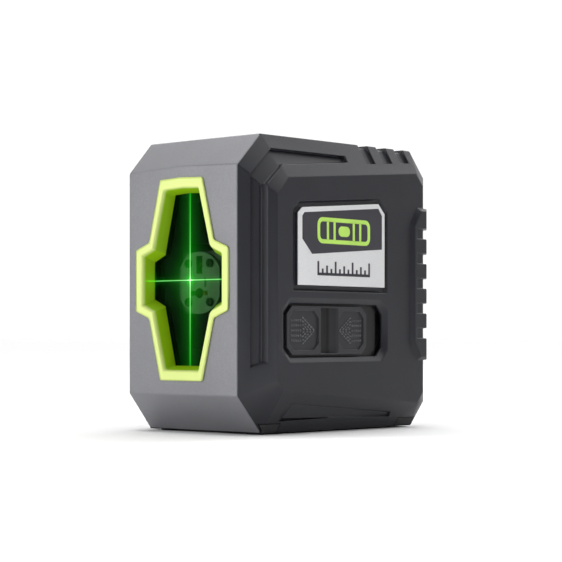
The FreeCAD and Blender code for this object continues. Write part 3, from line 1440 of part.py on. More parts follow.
def make_boards():
    """The driver board on the left of the chassis, with its parts and the screws that hold it."""
    s = size
    high_x = s.board_x + s.board_thick
    blank = box("board_blank", (s.board_x, high_x), (back(s.board_front), back(s.board_rear)),
                (s.board_low, s.board_high))
    inset = s.board_screw_inset
    spots = [(depth, z) for z in (s.board_low + inset, s.board_high - inset)
             for depth in (s.board_front + inset, s.board_rear - inset)]
    holes = []
    standoffs = []
    screws = []
    for index, (depth, z) in enumerate(spots):
        holes.append(rod(f"board_hole_{index + 1}", "X", 1.1, (s.board_x - 1, back(depth), z), 4))
        standoffs.append(cut(f"board_standoff_{index + 1}",
                             rod(f"standoff_rod_{index + 1}", "X", s.standoff_r, (high_x, back(depth), z),
                                 0 - s.chassis_x - high_x),
                             rod(f"standoff_bore_{index + 1}", "X", 0.8, (high_x - 1, back(depth), z), 4)))
        screws.append(screw(f"board_screw_{index + 1}", "X", (s.board_x, back(depth), z), 4.2,
                            s.small_head_r, as_size(0.78)))
    part("driver_board", cut("driver_board_cut", blank, *holes))
    part("board_standoffs", group("board_standoffs_all", standoffs))
    part("board_screws", group("board_screws_all", screws))
    chips = [
        box("driver_chip", (s.board_x - 1.2, s.board_x), (back(30), back(37)), (38, 45)),
        box("boost_coil", (s.board_x - 1.9, s.board_x), (back(21), back(27)), (30, 36)),
        box("plug_socket", (s.board_x - 2.0, s.board_x), (back(43), back(49)), (56, 61)),
        box("diode_row", (s.board_x - 0.8, s.board_x), (back(41), back(50)), (30, 33)),
        rod("capacitor_low", "-X", 2.4, (s.board_x, back(24), 50), 1.8),
        rod("capacitor_high", "-X", 2.4, (s.board_x, back(30), 56), 1.8),
    ]
    part("board_components", group("board_components_all", chips))


def make_case_fittings():
    """The casing screws and the brass tripod insert."""
    s = size
    screws = [screw(f"case_screw_{index + 1}", "X", (-18, back(depth), z), 25)
              for index, (depth, z) in enumerate(case_screw_spots())]
    part("case_screws", group("case_screws_all", screws))
    flange = 1.2
    part("tripod_insert", turned("tripod_insert_turn", "Z", [
        (s.thread_r + 0.5, 0), (s.insert_flange_r - 0.05, 0), (s.insert_flange_r - 0.05, flange - 0.03),
        (s.insert_r - 0.22, flange - 0.03), (s.insert_r - 0.22, s.insert_length),
        (s.thread_r, s.insert_length), (s.thread_r, s.insert_length - s.thread_length),
    ], (0, back(s.insert_depth), s.lift)))


def build():
    make_front_cover()
    make_window()
    make_housings()
    make_label()
    make_feet()
    make_slider()
    make_retainer()
    make_chassis()
    make_gimbal()
    make_pendulum()
    make_beam_modules()
    make_damping()
    make_lock()
    make_power()
    make_door()
    make_boards()
    make_case_fittings()
    doc.recompute()


def write_parts():
    """Stop if anything failed, then write one STEP file per sub-part."""
    failed = [item.Name for item in doc.Objects if {"Invalid", "Error"} & set(item.State)]
    if failed:
        raise RuntimeError(f"objects failed to build: {failed}")
    os.makedirs("parts", exist_ok=True)
    for name, item in parts.items():
        shape = item.Shape
        if shape.isNull() or not shape.isValid() or not shape.Solids:
            raise RuntimeError(f"{name} has no valid solid")
        shape.exportStep(f"parts/{name}.step")
        print(f"{name}: {len(shape.Solids)} solid(s), {shape.Volume:.1f} mm3")


build()
write_parts()
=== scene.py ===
import json
import math
import bpy
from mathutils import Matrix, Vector


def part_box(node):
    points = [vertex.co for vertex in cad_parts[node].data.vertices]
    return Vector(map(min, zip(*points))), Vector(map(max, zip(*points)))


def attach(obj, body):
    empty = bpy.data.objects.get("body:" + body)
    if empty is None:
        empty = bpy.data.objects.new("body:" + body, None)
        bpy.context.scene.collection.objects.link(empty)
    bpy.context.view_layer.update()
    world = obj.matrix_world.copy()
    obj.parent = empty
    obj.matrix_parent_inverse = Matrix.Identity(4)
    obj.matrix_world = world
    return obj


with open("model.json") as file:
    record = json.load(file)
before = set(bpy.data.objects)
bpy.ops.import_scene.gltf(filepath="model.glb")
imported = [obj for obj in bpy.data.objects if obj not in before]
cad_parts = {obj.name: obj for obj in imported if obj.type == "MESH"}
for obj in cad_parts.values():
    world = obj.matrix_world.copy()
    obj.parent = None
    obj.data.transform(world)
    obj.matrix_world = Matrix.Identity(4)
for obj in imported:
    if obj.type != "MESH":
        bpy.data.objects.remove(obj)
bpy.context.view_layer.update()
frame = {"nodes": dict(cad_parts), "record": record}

MM = 0.001


def mm(value):
    """Millimetres to metres."""
    return value * MM


# ---------------------------------------------------------------- places read from the frame
FRONT_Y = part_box("front_cover")[0].y               # the flat front face
GLASS_LOW, GLASS_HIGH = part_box("window_glass")
GLASS_Z = (GLASS_LOW.z + GLASS_HIGH.z) / 2
BEAM_Z = GLASS_Z - mm(0.2)                         # the level beam runs just below the pane's middle
LABEL_LOW, LABEL_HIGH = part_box("label_plate")
SLIDER_LOW, SLIDER_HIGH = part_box("slide_switch")
SLIDER_MIDDLE_Z = (SLIDER_LOW.z + SLIDER_HIGH.z) / 2


def mm_of(metres):
    """Metres to millimetres."""
    return metres / MM


def back(depth):
    """The y of a depth in millimetres behind the front face."""
    return FRONT_Y + mm(depth)


# ---------------------------------------------------------------- material building
class Finish:
    """A Principled material whose pattern nodes are added one by one."""

    def __init__(self, name, colour, roughness, metallic=0.0, **settings):
        self.material = bpy.data.materials.new(name)
        self.material.use_nodes = True
        self.tree = self.material.node_tree
        self.shader = self.tree.nodes["Principled BSDF"]
        self.shader.inputs["Base Color"].default_value = (*colour, 1)
        self.shader.inputs["Roughness"].default_value = roughness
        self.shader.inputs["Metallic"].default_value = metallic
        for socket, value in settings.items():
            self.shader.inputs[socket.replace("_", " ")].default_value = value
        self.place = self.add("ShaderNodeTexCoord").outputs["Object"]

    def add(self, kind, links=None, **settings):
        """A new node: links gives its inputs, as values or sockets, and settings its properties."""
        node = self.tree.nodes.new(kind)
        for key, value in settings.items():
            setattr(node, key, value)
        for socket, value in (links or {}).items():
            self.set(node, socket, value)
        return node

    def set(self, node, socket, value):
        target = node.inputs[socket]
        if isinstance(value, bpy.types.NodeSocket):
            self.tree.links.new(value, target)
        else:
            target.default_value = value

    def noise(self, size_mm, detail=2.0, rough=0.5):
        """Object space noise whose blobs are about size_mm across."""
        return self.add("ShaderNodeTexNoise", {
            "Vector": self.place, "Scale": 1 / mm(size_mm), "Detail": detail, "Roughness": rough,
        }).outputs["Fac"]

    def ramp(self, value, stops):
        """A colour ramp through (position, colour) stops."""
        node = self.add("ShaderNodeValToRGB", {"Fac": value})
        elements = node.color_ramp.elements
        while len(elements) < len(stops):
            elements.new(0.5)
        for element, (position, colour) in zip(elements, stops):
            element.position = position
            element.color = (*colour, 1)
        return node.outputs["Color"]

    def remap(self, value, low, high, to_low, to_high):
        return self.add("ShaderNodeMapRange", {
            "Value": value, "From Min": low, "From Max": high, "To Min": to_low, "To Max": to_high,
        }).outputs["Result"]

    def maths(self, operation, first, second=0.0):
        """One Math node; an operation with a single input ignores the second."""
        return self.add("ShaderNodeMath", {0: first, 1: second}, operation=operation).outputs[0]

    def axis(self, name):
        """One coordinate of the object's own space, in metres."""
        return self.add("ShaderNodeSeparateXYZ", {0: self.place}).outputs[name]

    def bump(self, height, distance_mm):
        """A normal that rises and falls by distance_mm as the height goes from 0 to 1."""
        return self.add("ShaderNodeBump", {
            "Height": height, "Distance": mm(distance_mm), "Strength": 1.0,
        }).outputs["Normal"]

    def drive(self, socket, value):
        """Set one of the shader's own inputs."""
        self.set(self.shader, socket, value)


def shade(colour, factor):
    """A colour made lighter or darker by a factor."""
    return tuple(min(1.0, channel * factor) for channel in colour)


def moulded(name, colour, roughness, grain_mm=0.28, grain_depth=0.012, mottling=0.08, **settings):
    """Injection moulded plastic: spark eroded grain, faint flow mottling and uneven gloss."""
    finish = Finish(name, colour, roughness, **settings)
    grain = finish.noise(grain_mm, 3.0, 0.6)
    cloud = finish.noise(9.0, 2.0)
    finish.drive("Base Color", finish.ramp(cloud, [(0.3, shade(colour, 1 - mottling)),
                                                   (0.7, shade(colour, 1 + mottling))]))
    finish.drive("Roughness", finish.remap(grain, 0.3, 0.7, roughness - 0.07, roughness + 0.07))
    finish.drive("Normal", finish.bump(grain, grain_depth))
    return finish.material


def metal(name, colour, roughness, turned_mm=0.35, depth=0.004, **settings):
    """Machined metal: fine tool marks over a slight tarnish."""
    finish = Finish(name, colour, roughness, 1.0, **settings)
    marks = finish.noise(turned_mm, 4.0, 0.7)
    tarnish = finish.noise(4.0, 3.0)
    finish.drive("Base Color", finish.ramp(tarnish, [(0.3, shade(colour, 0.82)), (0.7, shade(colour, 1.08))]))
    finish.drive("Roughness", finish.remap(marks, 0.3, 0.7, roughness - 0.08, roughness + 0.1))
    finish.drive("Normal", finish.bump(marks, depth))
    return finish.material


MIX_COLOUR_A = 6          # a Mix node's colour sockets share their names with others, so they go by place
MIX_COLOUR_B = 7
MIX_COLOUR_OUT = 2


def silver_paint():
    """Metallic paint over plastic: fine flakes, and a gloss that handling has made a little uneven."""
    colour = (0.185, 0.186, 0.202)
    finish = Finish("silver_paint", colour, 0.42, 0.35, Coat_Weight=0.3, Coat_Roughness=0.22)
    flake = finish.noise(0.16, 2.0, 0.7)
    haze = finish.noise(14.0, 2.0)
    speck = finish.ramp(flake, [(0.3, shade(colour, 0.80)), (0.5, colour), (0.72, shade(colour, 1.3))])
    flake_share = 0.85
    mixed = finish.add("ShaderNodeMix", {
        "Factor": flake_share, MIX_COLOUR_A: (*colour, 1), MIX_COLOUR_B: speck,
    }, data_type="RGBA")
    finish.drive("Base Color", mixed.outputs[MIX_COLOUR_OUT])
    finish.drive("Roughness", finish.remap(haze, 0.3, 0.7, 0.38, 0.48))
    finish.drive("Normal", finish.bump(flake, 0.006))
    return finish.material


EULER = 2.718


def bell(finish, distance, width_mm):
    """A soft bell that is 1 where the distance is 0."""
    ratio = finish.maths("DIVIDE", distance, mm(width_mm))
    exponent = finish.maths("MULTIPLY", finish.maths("POWER", ratio, 2.0), -1.0)
    return finish.maths("POWER", EULER, exponent)


def total(finish, *parts):
    """The sum of (value, weight) pairs."""
    result = None
    for value, weight in parts:
        part = finish.maths("MULTIPLY", value, weight)
        result = part if result is None else finish.maths("ADD", result, part)
    return result


def lime_plastic():
    """The bezel: satin lime, with a painted highlight on its rim, painted shade down its throat, and painted
    green beam light where the level beam grazes the left wall.
    """
    rim = (0.75, 0.87, 0.30)
    throat = (0.23, 0.43, 0.004)
    finish = Finish("lime_plastic", rim, 0.34, Specular_IOR_Level=0.1)
    depth = finish.remap(finish.axis("Y"), back(-0.5), back(3.2), 0.0, 1.0)
    grain = finish.noise(0.5, 3.0)
    # painted light: the pale lime at the rim is a painted highlight, the darker lime further back is painted
    # shade in the throat
    finish.drive("Base Color", finish.ramp(depth, [(0.0, rim), (0.12, shade(rim, 0.8)), (0.3, throat),
                                                   (1.0, shade(throat, 0.85))]))
    finish.drive("Roughness", finish.remap(grain, 0.3, 0.7, 0.30, 0.40))
    finish.drive("Normal", finish.bump(grain, 0.006))
    # painted beam light: green emission on the left inner wall along the level beam
    height = finish.maths("SUBTRACT", finish.axis("Z"), BEAM_Z)
    line = bell(finish, height, 0.16)
    glow = bell(finish, height, 2.6)
    beam = total(finish, (line, 0.55), (glow, 0.10))
    inside = finish.remap(finish.axis("Y"), back(0.1), back(1.6), 0.0, 1.0)
    left = finish.remap(finish.axis("X"), GLASS_LOW.x + mm(1.2), GLASS_LOW.x + mm(1.7), 1.0, 0.0)
    finish.shader.inputs["Emission Color"].default_value = (0.03, 1.0, 0.02, 1)
    finish.drive("Emission Strength", finish.maths("MULTIPLY", beam, finish.maths("MULTIPLY", inside, left)))
    return finish.material


def tinted_glass():
    """Near black green window pane with the crossed beam lines and their haze glowing in it."""
    finish = Finish("tinted_glass", (0.0005, 0.004, 0.0005), 0.06, Specular_IOR_Level=0.01)
    x = finish.axis("X")
    z = finish.maths("SUBTRACT", finish.axis("Z"), BEAM_Z)
    squares = finish.maths("ADD", finish.maths("POWER", x, 2.0), finish.maths("POWER", z, 2.0))
    away = finish.maths("SQRT", squares)
    fade = finish.remap(away, 0.0, mm(24), 1.0, 0.55)
    upright_line = finish.maths("MULTIPLY", bell(finish, x, 0.15), fade)
    level_line = bell(finish, z, 0.12)
    haze_fade = finish.remap(away, 0.0, mm(30), 1.0, 0.4)
    haze = finish.maths("MULTIPLY", bell(finish, x, 3.2), haze_fade)
    wide_glow = bell(finish, away, 6.5)
    crossing_glow = bell(finish, away, 1.2)
    upright_halo = bell(finish, x, 0.8)
    level_halo = bell(finish, z, 0.9)
    strength = total(finish, (upright_line, 1.9), (level_line, 1.8), (haze, 0.16), (wide_glow, 0.15),
                     (crossing_glow, 0.6), (upright_halo, 0.12), (level_halo, 0.08))
    excess = finish.maths("MULTIPLY", finish.maths("SUBTRACT", strength, 1.1), 0.8)
    heat = finish.maths("MINIMUM", excess, 1.0)
    beam_green = (0.008, 0.95, 0.015)
    beam_core = (0.6, 1.0, 0.55)
    finish.drive("Emission Color", finish.ramp(heat, [(0.0, beam_green), (0.9, beam_core)]))
    outside = finish.remap(finish.axis("Y"), GLASS_LOW.y + mm(0.1), GLASS_LOW.y + mm(0.2), 1.0, 0.0)
    finish.drive("Emission Strength", finish.maths("MULTIPLY", strength, outside))
    finish.shader.inputs["Alpha"].default_value = 0.58
    return finish.material


def thumb_slide():
    """The slide's dark plastic, with painted shade that turns it near black in its channel and on its flange
    deep in the slot, and a little darker on its sunk pads.
    """
    colour = (0.024, 0.024, 0.029)
    finish = Finish("switch_plastic", colour, 0.4, Specular_IOR_Level=0.4)
    grain = finish.noise(0.22, 3.0, 0.6)
    depth = finish.remap(finish.axis("X"), SLIDER_HIGH.x - mm(2.0), SLIDER_HIGH.x, 0.0, 1.0)
    # painted shade: the colour darkens with depth below the slide's face
    finish.drive("Base Color", finish.ramp(depth, [(0.13, shade(colour, 0.1)), (0.3, shade(colour, 0.9)),
                                                   (0.72, shade(colour, 0.7)), (0.85, colour)]))
    finish.drive("Roughness", finish.remap(grain, 0.3, 0.7, 0.34, 0.46))
    finish.drive("Normal", finish.bump(grain, 0.008))
    return finish.material


def cell_sleeve():
    """A printed sleeve: dark body, and a lime band at the positive end, which is up on the left cell only."""
    body = (0.035, 0.035, 0.040)
    band = (0.30, 0.45, 0.04)
    finish = Finish("cell_sleeve", body, 0.3)
    low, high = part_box("battery_cells")
    middle_z = (low.z + high.z) / 2
    side = finish.maths("MULTIPLY", finish.maths("SIGN", finish.axis("X")), -1.0)
    along = finish.maths("MULTIPLY", finish.maths("SUBTRACT", finish.axis("Z"), middle_z), side)
    band_start = 9.0
    band_edge = 0.2
    printed = finish.remap(along, mm(band_start), mm(band_start + band_edge), 0.0, 1.0)
    scuffs = finish.noise(1.5, 4.0, 0.65)
    finish.drive("Base Color", finish.ramp(printed, [(0.0, body), (1.0, band)]))
    finish.drive("Roughness", finish.remap(scuffs, 0.3, 0.7, 0.24, 0.38))
    finish.drive("Normal", finish.bump(scuffs, 0.01))
    return finish.material


def circuit_board():
    """Solder resist over copper tracks that run on a square grid."""
    finish = Finish("circuit_board", (0.02, 0.14, 0.05), 0.35)
    tracks = finish.add("ShaderNodeTexBrick", {
        "Vector": finish.place, "Scale": 260.0, "Mortar Size": 0.012,
        "Color1": (0.02, 0.16, 0.06, 1), "Color2": (0.018, 0.12, 0.045, 1), "Mortar": (0.10, 0.32, 0.12, 1),
    })
    finish.drive("Base Color", tracks.outputs["Color"])
    finish.drive("Normal", finish.bump(tracks.outputs["Fac"], 0.03))
    return finish.material


def label_silver():
    """Printed laminate: pale silver with the faintest brushing along its length."""
    colour = (0.72, 0.725, 0.735)
    finish = Finish("label_silver", colour, 0.38, 0.12)
    stretched = finish.add("ShaderNodeMapping", {"Vector": finish.place, "Scale": (1, 0.06, 1)})
    brushing = finish.add("ShaderNodeTexNoise", {
        "Vector": stretched.outputs["Vector"], "Scale": 9000.0, "Detail": 3.0,
    }).outputs["Fac"]
    tones = finish.ramp(brushing, [(0.3, shade(colour, 0.95)), (0.7, shade(colour, 1.04))])
    finish.drive("Base Color", tones)
    finish.drive("Normal", finish.bump(brushing, 0.002))
    return finish.material


def lens_glass():
    """Clear glass rod with faint polishing marks."""
    finish = Finish("lens_glass", (0.85, 0.95, 0.9), 0.03, Transmission_Weight=1.0, IOR=1.5)
    finish.drive("Roughness", finish.remap(finish.noise(2.0), 0.3, 0.7, 0.02, 0.05))
    return finish.material


DARK = (0.0130, 0.0136, 0.0190)
MATERIALS = {
    "silver_paint": silver_paint(),
    "dark_plastic": moulded("dark_plastic", DARK, 0.42, Specular_IOR_Level=0.4),
    "lime_plastic": lime_plastic(),
    "tinted_glass": tinted_glass(),
    "black_rubber": moulded("black_rubber", (0.028, 0.028, 0.031), 0.75, 0.5, 0.02),
    "label_print": label_silver(),
    "switch_plastic": thumb_slide(),
    "inner_plastic": moulded("inner_plastic", (0.02, 0.02, 0.022), 0.55),
    "die_cast": metal("die_cast", (0.33, 0.33, 0.35), 0.48, 0.6, 0.02),
    "plated_weight": metal("plated_weight", (0.40, 0.40, 0.42), 0.34),
    "bright_steel": metal("bright_steel", (0.60, 0.60, 0.61), 0.22, 0.2),
    "black_screws": metal("black_screws", (0.07, 0.07, 0.075), 0.38, 0.2),
    "brass": metal("brass", (0.72, 0.50, 0.20), 0.28, 0.2),
    "copper": metal("copper", (0.75, 0.36, 0.20), 0.30, 0.25),
    "nickel_magnet": metal("nickel_magnet", (0.66, 0.65, 0.63), 0.16, 0.3, 0.002),
    "lens_glass": lens_glass(),
    "circuit_board": circuit_board(),
    "board_parts": moulded("board_parts", (0.02, 0.02, 0.022), 0.4, 0.2, 0.005),
    "cell_wrap": cell_sleeve(),
}
LABEL_INK = moulded("label_ink", (0.030, 0.028, 0.038), 0.36, 0.12, 0.002)
# painted highlight: the thumb beads are the slide's own dark plastic, painted much lighter to stand for light
# on their tops
PAINTED_HIGHLIGHT_BEADS = moulded("thumb_beads_painted_highlight", (0.12, 0.12, 0.13), 0.25, 0.3, 0.002)
LABEL_LIME = moulded("label_lime", (0.50, 0.80, 0.13), 0.36, 0.12, 0.002)


def paint(obj, material):
    """Give an object one material in place of what it had."""
    obj.data.materials.clear()
    obj.data.materials.append(material)


class Mesh:
    """Collects prisms and flat rings into one object that rides on a body."""

    def __init__(self):
        self.points = []
        self.faces = []

    def add(self, points, faces):
        start = len(self.points)
        self.points += points
        self.faces += [tuple(start + index for index in face) for face in faces]

    def plate(self, outline, low_x, high_x, shrink=0.0):
        """A (y, z) outline padded along X; its outer face is drawn in by shrink towards its middle."""
        count = len(outline)
        middle_y = sum(y for y, z in outline) / count
        middle_z = sum(z for y, z in outline) / count
        points = [(low_x, y, z) for y, z in outline]
        for y, z in outline:
            reach = math.hypot(y - middle_y, z - middle_z)
            keep = 1 - shrink / reach
            points.append((high_x, middle_y + (y - middle_y) * keep, middle_z + (z - middle_z) * keep))
        faces = [tuple(reversed(range(count))), tuple(range(count, 2 * count))]
        faces += [(i, (i + 1) % count, count + (i + 1) % count, count + i) for i in range(count)]
        self.add(points, faces)

    def ring(self, outer, inner, low_x, high_x):
        """A flat ring between two (y, z) outlines with the same number of corners."""
        count = len(outer)
        points = []
        for x in (low_x, high_x):
            points += [(x, y, z) for y, z in outer] + [(x, y, z) for y, z in inner]
        faces = []
        for i in range(count):
            j = (i + 1) % count
            top = 2 * count
            faces.append((top + i, top + j, top + count + j, top + count + i))
            faces.append((i, count + i, count + j, j))
            faces.append((i, j, top + j, top + i))
            faces.append((count + i, top + count + i, top + count + j, count + j))
        self.add(points, faces)

    def finish(self, name, material, body, slot):
        """Make the object and hang it on its body; the slot argument is not used."""
        data = bpy.data.meshes.new(name)
        data.from_pydata(self.points, [], self.faces)
        data.validate()
        obj = bpy.data.objects.new(name, data)
        data.materials.append(material)
        bpy.context.scene.collection.objects.link(obj)
        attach(obj, body)


def rounded(low_depth, high_depth, low_z, high_z, corner, steps=5):
    """A (y, z) rectangle in millimetres with rounded corners."""
    outline = []
    centres = [(high_depth - corner, high_z - corner, 0), (low_depth + corner, high_z - corner, 90),
               (low_depth + corner, low_z + corner, 180), (high_depth - corner, low_z + corner, 270)]
    for depth, z, start in centres:
        for step in range(steps + 1):
            angle = math.radians(start + 90 * step / steps)
            outline.append((back(depth + corner * math.cos(angle)), mm(z + corner * math.sin(angle))))
    return outline


def corners(points):
    """(depth, z) points in millimetres as the (y, z) points of an outline."""
    return [(back(depth), mm(z)) for depth, z in points]


def label_corner():
    """The (depth, z) in millimetres of the label plate's lower front corner."""
    return mm_of(LABEL_LOW.y - FRONT_Y), mm_of(LABEL_LOW.z)


def print_label():
    """The printed face: a dark field, a level vial pictogram in lime, and a ruler scale below it."""
    face = LABEL_HIGH.x
    under = face - mm(0.05)
    ink = face + mm(0.03)
    over = face + mm(0.06)
    front, foot = label_corner()
    rim = 1.7
    # the dark field's corners, in millimetres along and up from the plate's lower front corner
    dark_top = [(rim, 13.1), (6.0, 8.9), (38.1, 11.3), (38.1, 21.3), (36.4, 23.4), (2.6, 20.6), (rim, 19.6)]
    field = Mesh()
    field.plate(corners([(front + u, foot + v) for u, v in dark_top]), under, ink)
    field.finish("label_dark_field", LABEL_INK, "root", "label_print")

    vial = Mesh()
    low = front + 8.3
    high = front + 32.4
    low_z = foot + 12.1
    high_z = foot + 19.6
    line = 1.2
    outer_corner = 2.2
    inner_corner = 1.1
    vial.ring(rounded(low, high, low_z, high_z, outer_corner),
              rounded(low + line, high - line, low_z + line, high_z - line, inner_corner), face, over)
    middle = (low + high) / 2
    centre = (low_z + high_z) / 2
    half_bubble = 2.6
    half_height = 1.5
    bubble_corner = 1.45
    bubble = rounded(middle - half_bubble, middle + half_bubble, centre - half_height, centre + half_height,
                     bubble_corner)
    vial.plate(bubble, face, over)
    sharp_corner = 0.1
    half_bar = 0.5
    bar_inset = 1
    for side in (-1, 1):
        for distance in (4.4, 7.4):
            at = middle + side * distance
            bar = rounded(at - half_bar, at + half_bar, low_z + bar_inset, high_z - bar_inset, sharp_corner)
            vial.plate(bar, face, over)
    vial.finish("label_vial_mark", LABEL_LIME, "root", "label_print")

    scale = Mesh()
    base = foot + 2.9
    stroke = 0.4
    scale.plate(rounded(low, high, base, base + 2 * stroke, sharp_corner), under, ink)
    ticks = 13
    tick_foot = 0.5
    tick_heights = (4.1, 2.0, 2.9, 2.0)
    for index in range(ticks):
        at = low + stroke + (high - low - 2 * stroke) * index / (ticks - 1)
        tall = tick_heights[index % len(tick_heights)]
        tick = rounded(at - stroke, at + stroke, base + tick_foot, base + tall, sharp_corner)
        scale.plate(tick, under, ink)
    scale.finish("label_scale_mark", LABEL_INK, "root", "label_print")


BEAD_ROOT = 0.1           # millimetres a bead reaches down into its pad
BEAD_RISE = 0.28
BEAD_FLANK = 0.16
BEAD_OUTLINE = ((-1, -0.4), (-0.6, -1), (0.6, -1), (1, -0.4), (1, 0.4), (0.6, 1), (-0.6, 1), (-1, 0.4))


def bead(mesh, depth, z, length, width, angle, floor):
    """One raised bead of the thumb pads' texture, with sloped flanks."""
    turn = math.radians(angle)
    outline = []
    for u, v in BEAD_OUTLINE:
        along = u * length / 2
        across = v * width / 2
        outline.append((depth + along * math.cos(turn) - across * math.sin(turn),
                        z + along * math.sin(turn) + across * math.cos(turn)))
    mesh.plate(corners(outline), floor - mm(BEAD_ROOT), floor + mm(BEAD_RISE), mm(BEAD_FLANK))


def thumb_arrow(name, tip, way):
    """An arrow of beads on one thumb pad: rows for its shaft and chevrons for its head."""
    pad_depth = 0.5
    floor = SLIDER_HIGH.x - mm(pad_depth)
    middle = mm_of(SLIDER_MIDDLE_Z)
    mesh = Mesh()
    head = 5.4
    half = 3.9
    chevrons = 4
    chevron_pitch = 1.35
    chevron_slope = 35.8
    bead_pitch = 0.95
    bead_width = 0.52
    for chevron in range(chevrons):
        length = head - chevron_pitch * chevron
        for side in (-1, 1):
            steps = max(1, int(round(length / bead_pitch)))
            for step in range(steps):
                run = length * (step + 0.5) / steps
                bead(mesh, tip - way * (chevron_pitch * chevron + run), middle + side * run * half / head,
                     bead_pitch, bead_width, -way * side * chevron_slope, floor)
    rows = 5
    columns = 5
    row_pitch = 1.45
    shaft_gap = 0.6
    shaft_bead_height = 0.85
    shaft_slope = 20
    for row in range(rows):
        for column in range(columns):
            depth = tip - way * (head + shaft_gap + bead_pitch * column)
            z = middle + (row - rows // 2) * row_pitch
            bead(mesh, depth, z, bead_width, shaft_bead_height, shaft_slope * way, floor)
    mesh.finish(name, PAINTED_HIGHLIGHT_BEADS, "slider", "switch_plastic")


def dress_nodes():
    """Give every CAD node the material of its slot."""
    slots = {row["node"]: row["material_slot"] for row in frame["record"]["subparts"]}
    for name, node in frame["nodes"].items():
        paint(node, MATERIALS[slots[name]])


def soften(name, width_mm, miter="MITER_SHARP"):
    """Round a node's edges: merge its flat triangles, then bevel every edge that is left."""
    node = frame["nodes"][name]
    weld = node.modifiers.new("weld", "WELD")
    weld.merge_threshold = mm(0.002)
    flat = node.modifiers.new("merge_flats", "DECIMATE")
    flat.decimate_type = "DISSOLVE"
    flat.angle_limit = math.radians(1.0)
    bevel = node.modifiers.new("round_edges", "BEVEL")
    bevel.width = mm(width_mm)
    bevel.segments = 2
    bevel.limit_method = "ANGLE"
    bevel.angle_limit = math.radians(28)
    bevel.miter_outer = miter
    bevel.use_clamp_overlap = False
    normals = node.modifiers.new("flat_normals", "WEIGHTED_NORMAL")
    normals.weight = 100
    normals.keep_sharp = False


def camera():
    """The photograph's view: level, from the front right, with the horizon raised by shift alone."""
    azimuth = math.radians(41.3)
    eye = Vector((mm(347.5), FRONT_Y - mm(352.6), mm(27.9)))
    data = bpy.data.cameras.new("camera")
    data.sensor_width = 36.0
    data.lens = 110.75
    data.shift_y = 0.098
    data.clip_start = 0.01
    data.clip_end = 50
    obj = bpy.data.objects.new("camera", data)
    obj.location = eye
    obj.rotation_euler = (math.radians(90), 0, azimuth)
    bpy.context.scene.collection.objects.link(obj)
    bpy.context.scene.camera = obj


def area_light(name, place, target, width, height, power, colour=(1, 1, 1)):
    """A rectangular light at a place, turned to face its target."""
    data = bpy.data.lights.new(name, "AREA")
    data.shape = "RECTANGLE"
    data.size = width
    data.size_y = height
    data.energy = power
    data.color = colour
    obj = bpy.data.objects.new(name, data)
    obj.location = place
    obj.rotation_euler = (Vector(target) - Vector(place)).to_track_quat("-Z", "Y").to_euler()
    bpy.context.scene.collection.objects.link(obj)


def studio_world():
    """A lit backdrop behind the object that falls off to a dim room behind the camera."""
    world = bpy.data.worlds.new("studio")
    world.use_nodes = True
    tree = world.node_tree
    direction = tree.nodes.new("ShaderNodeTexCoord").outputs["Generated"]
    along = tree.nodes.new("ShaderNodeVectorMath")
    along.operation = "DOT_PRODUCT"
    tree.links.new(direction, along.inputs[0])
    along.inputs[1].default_value = (-0.66, 0.751, 0.0)
    spread = tree.nodes.new("ShaderNodeMapRange")
    tree.links.new(along.outputs["Value"], spread.inputs["Value"])
    spread.inputs["From Min"].default_value = -1.0
    ramp = tree.nodes.new("ShaderNodeValToRGB")
    tree.links.new(spread.outputs["Result"], ramp.inputs["Fac"])
    stops = [(0.0, 0.10), (0.45, 0.20), (0.64, 0.34), (0.86, 1.0)]
    while len(ramp.color_ramp.elements) < len(stops):
        ramp.color_ramp.elements.new(0.5)
    for element, (position, level) in zip(ramp.color_ramp.elements, stops):
        element.position = position
        element.color = (level, level, level, 1)
    tree.links.new(ramp.outputs["Color"], tree.nodes["Background"].inputs["Color"])
    tree.nodes["Background"].inputs["Strength"].default_value = 1.06
    bpy.context.scene.world = world


def pale_floor():
    """A wide white floor for the object to stand on."""
    mesh = bpy.data.meshes.new("floor")
    half = 12.0
    square = [(-half, -half, 0), (half, -half, 0), (half, half, 0), (-half, half, 0)]
    mesh.from_pydata(square, [], [(0, 1, 2, 3)])
    floor = bpy.data.objects.new("floor", mesh)
    bpy.context.scene.collection.objects.link(floor)
    finish = Finish("floor_white", (0.9, 0.9, 0.9), 0.8)
    floor.data.materials.append(finish.material)


def overhead_light():
    """A sun as wide as the sky, for soft light from above and a soft contact shadow."""
    sky = bpy.data.lights.new("overhead", "SUN")
    sky.energy = 2.3
    sky.angle = math.radians(100)
    overhead = bpy.data.objects.new("overhead", sky)
    overhead.rotation_euler = (math.radians(-24), math.radians(5), 0)
    bpy.context.scene.collection.objects.link(overhead)


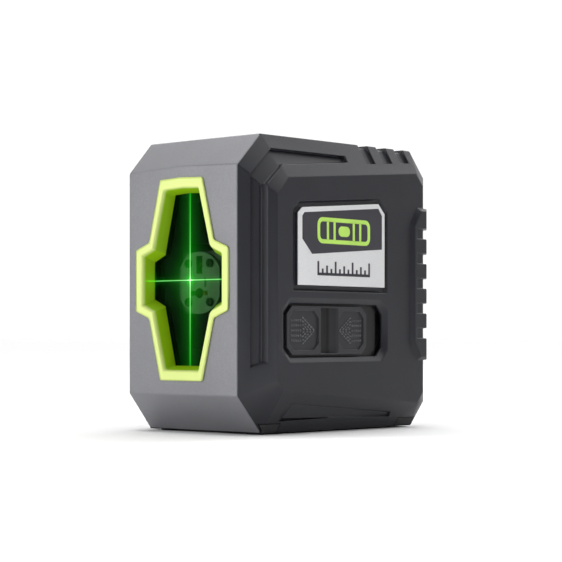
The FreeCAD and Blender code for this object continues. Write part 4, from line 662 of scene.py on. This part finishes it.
def softboxes():
    """Studio boxes and strips round the object; places and sizes are in metres, powers in watts."""
    middle = (0, 0, mm(45))
    area_light("left_softbox", (-0.64, -1.08, 0.32), middle, 0.7, 0.7, 4.2)
    area_light("front_strip", (0.08, -1.2, 0.12), middle, 0.10, 0.9, 4.0)
    area_light("brow_strip", (-0.75, -0.6, 0.66), middle, 0.5, 0.12, 0.9)
    area_light("top_softbox", (-0.05, -0.15, 1.1), middle, 0.3, 0.3, 1.6)
    area_light("back_softbox", (-0.35, 0.9, 0.6), middle, 0.3, 0.2, 0.5)


def beam_glow():
    """Green light from the beams on the pendulum's front plate, behind the pane."""
    plate_low, plate_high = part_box("pendulum_front_plate")
    before_plate = (0, plate_low.y - mm(1.0), (plate_low.z + plate_high.z) / 2)
    behind_plate = (0, plate_high.y, before_plate[2])
    area_light("beam_glow", before_plate, behind_plate, mm(16), mm(18), 0.0009, (0.20, 1.0, 0.16))


def floor_spot():
    """A soft spot on the object's right side and the floor beside it."""
    spot = bpy.data.lights.new("floor_spot", "SPOT")
    spot.energy = 16
    spot.spot_size = math.radians(15)
    spot.spot_blend = 0.9
    spot.shadow_soft_size = 0.02
    lamp = bpy.data.objects.new("floor_spot", spot)
    lamp.location = (mm(98), mm(-70), 0.5)
    bpy.context.scene.collection.objects.link(lamp)


def stage():
    """The floor, the backdrop, the lights and plain colour handling."""
    pale_floor()
    studio_world()
    overhead_light()
    softboxes()
    beam_glow()
    floor_spot()
    bpy.context.scene.view_settings.view_transform = "Standard"
    bpy.context.scene.view_settings.look = "None"


FRONT_ARROW_TIP = 15.3    # millimetres behind the slide's front edge
REAR_ARROW_TIP = 26.5

dress_nodes()
for node_name, width in (("front_cover", 0.45), ("housing_right", 0.3), ("window_bezel", 0.6),
                         ("slide_switch", 0.14), ("battery_door", 0.3), ("corner_feet", 0.3),
                         ("label_plate", 0.12)):
    soften(node_name, width)
soften("housing_left", 0.3, "MITER_ARC")           # a sharp miter folds over under this half's front foot
print_label()
slide_front = mm_of(SLIDER_LOW.y - FRONT_Y)
thumb_arrow("switch_arrow_front", slide_front + FRONT_ARROW_TIP, 1)
thumb_arrow("switch_arrow_rear", slide_front + REAR_ARROW_TIP, -1)
camera()
stage()
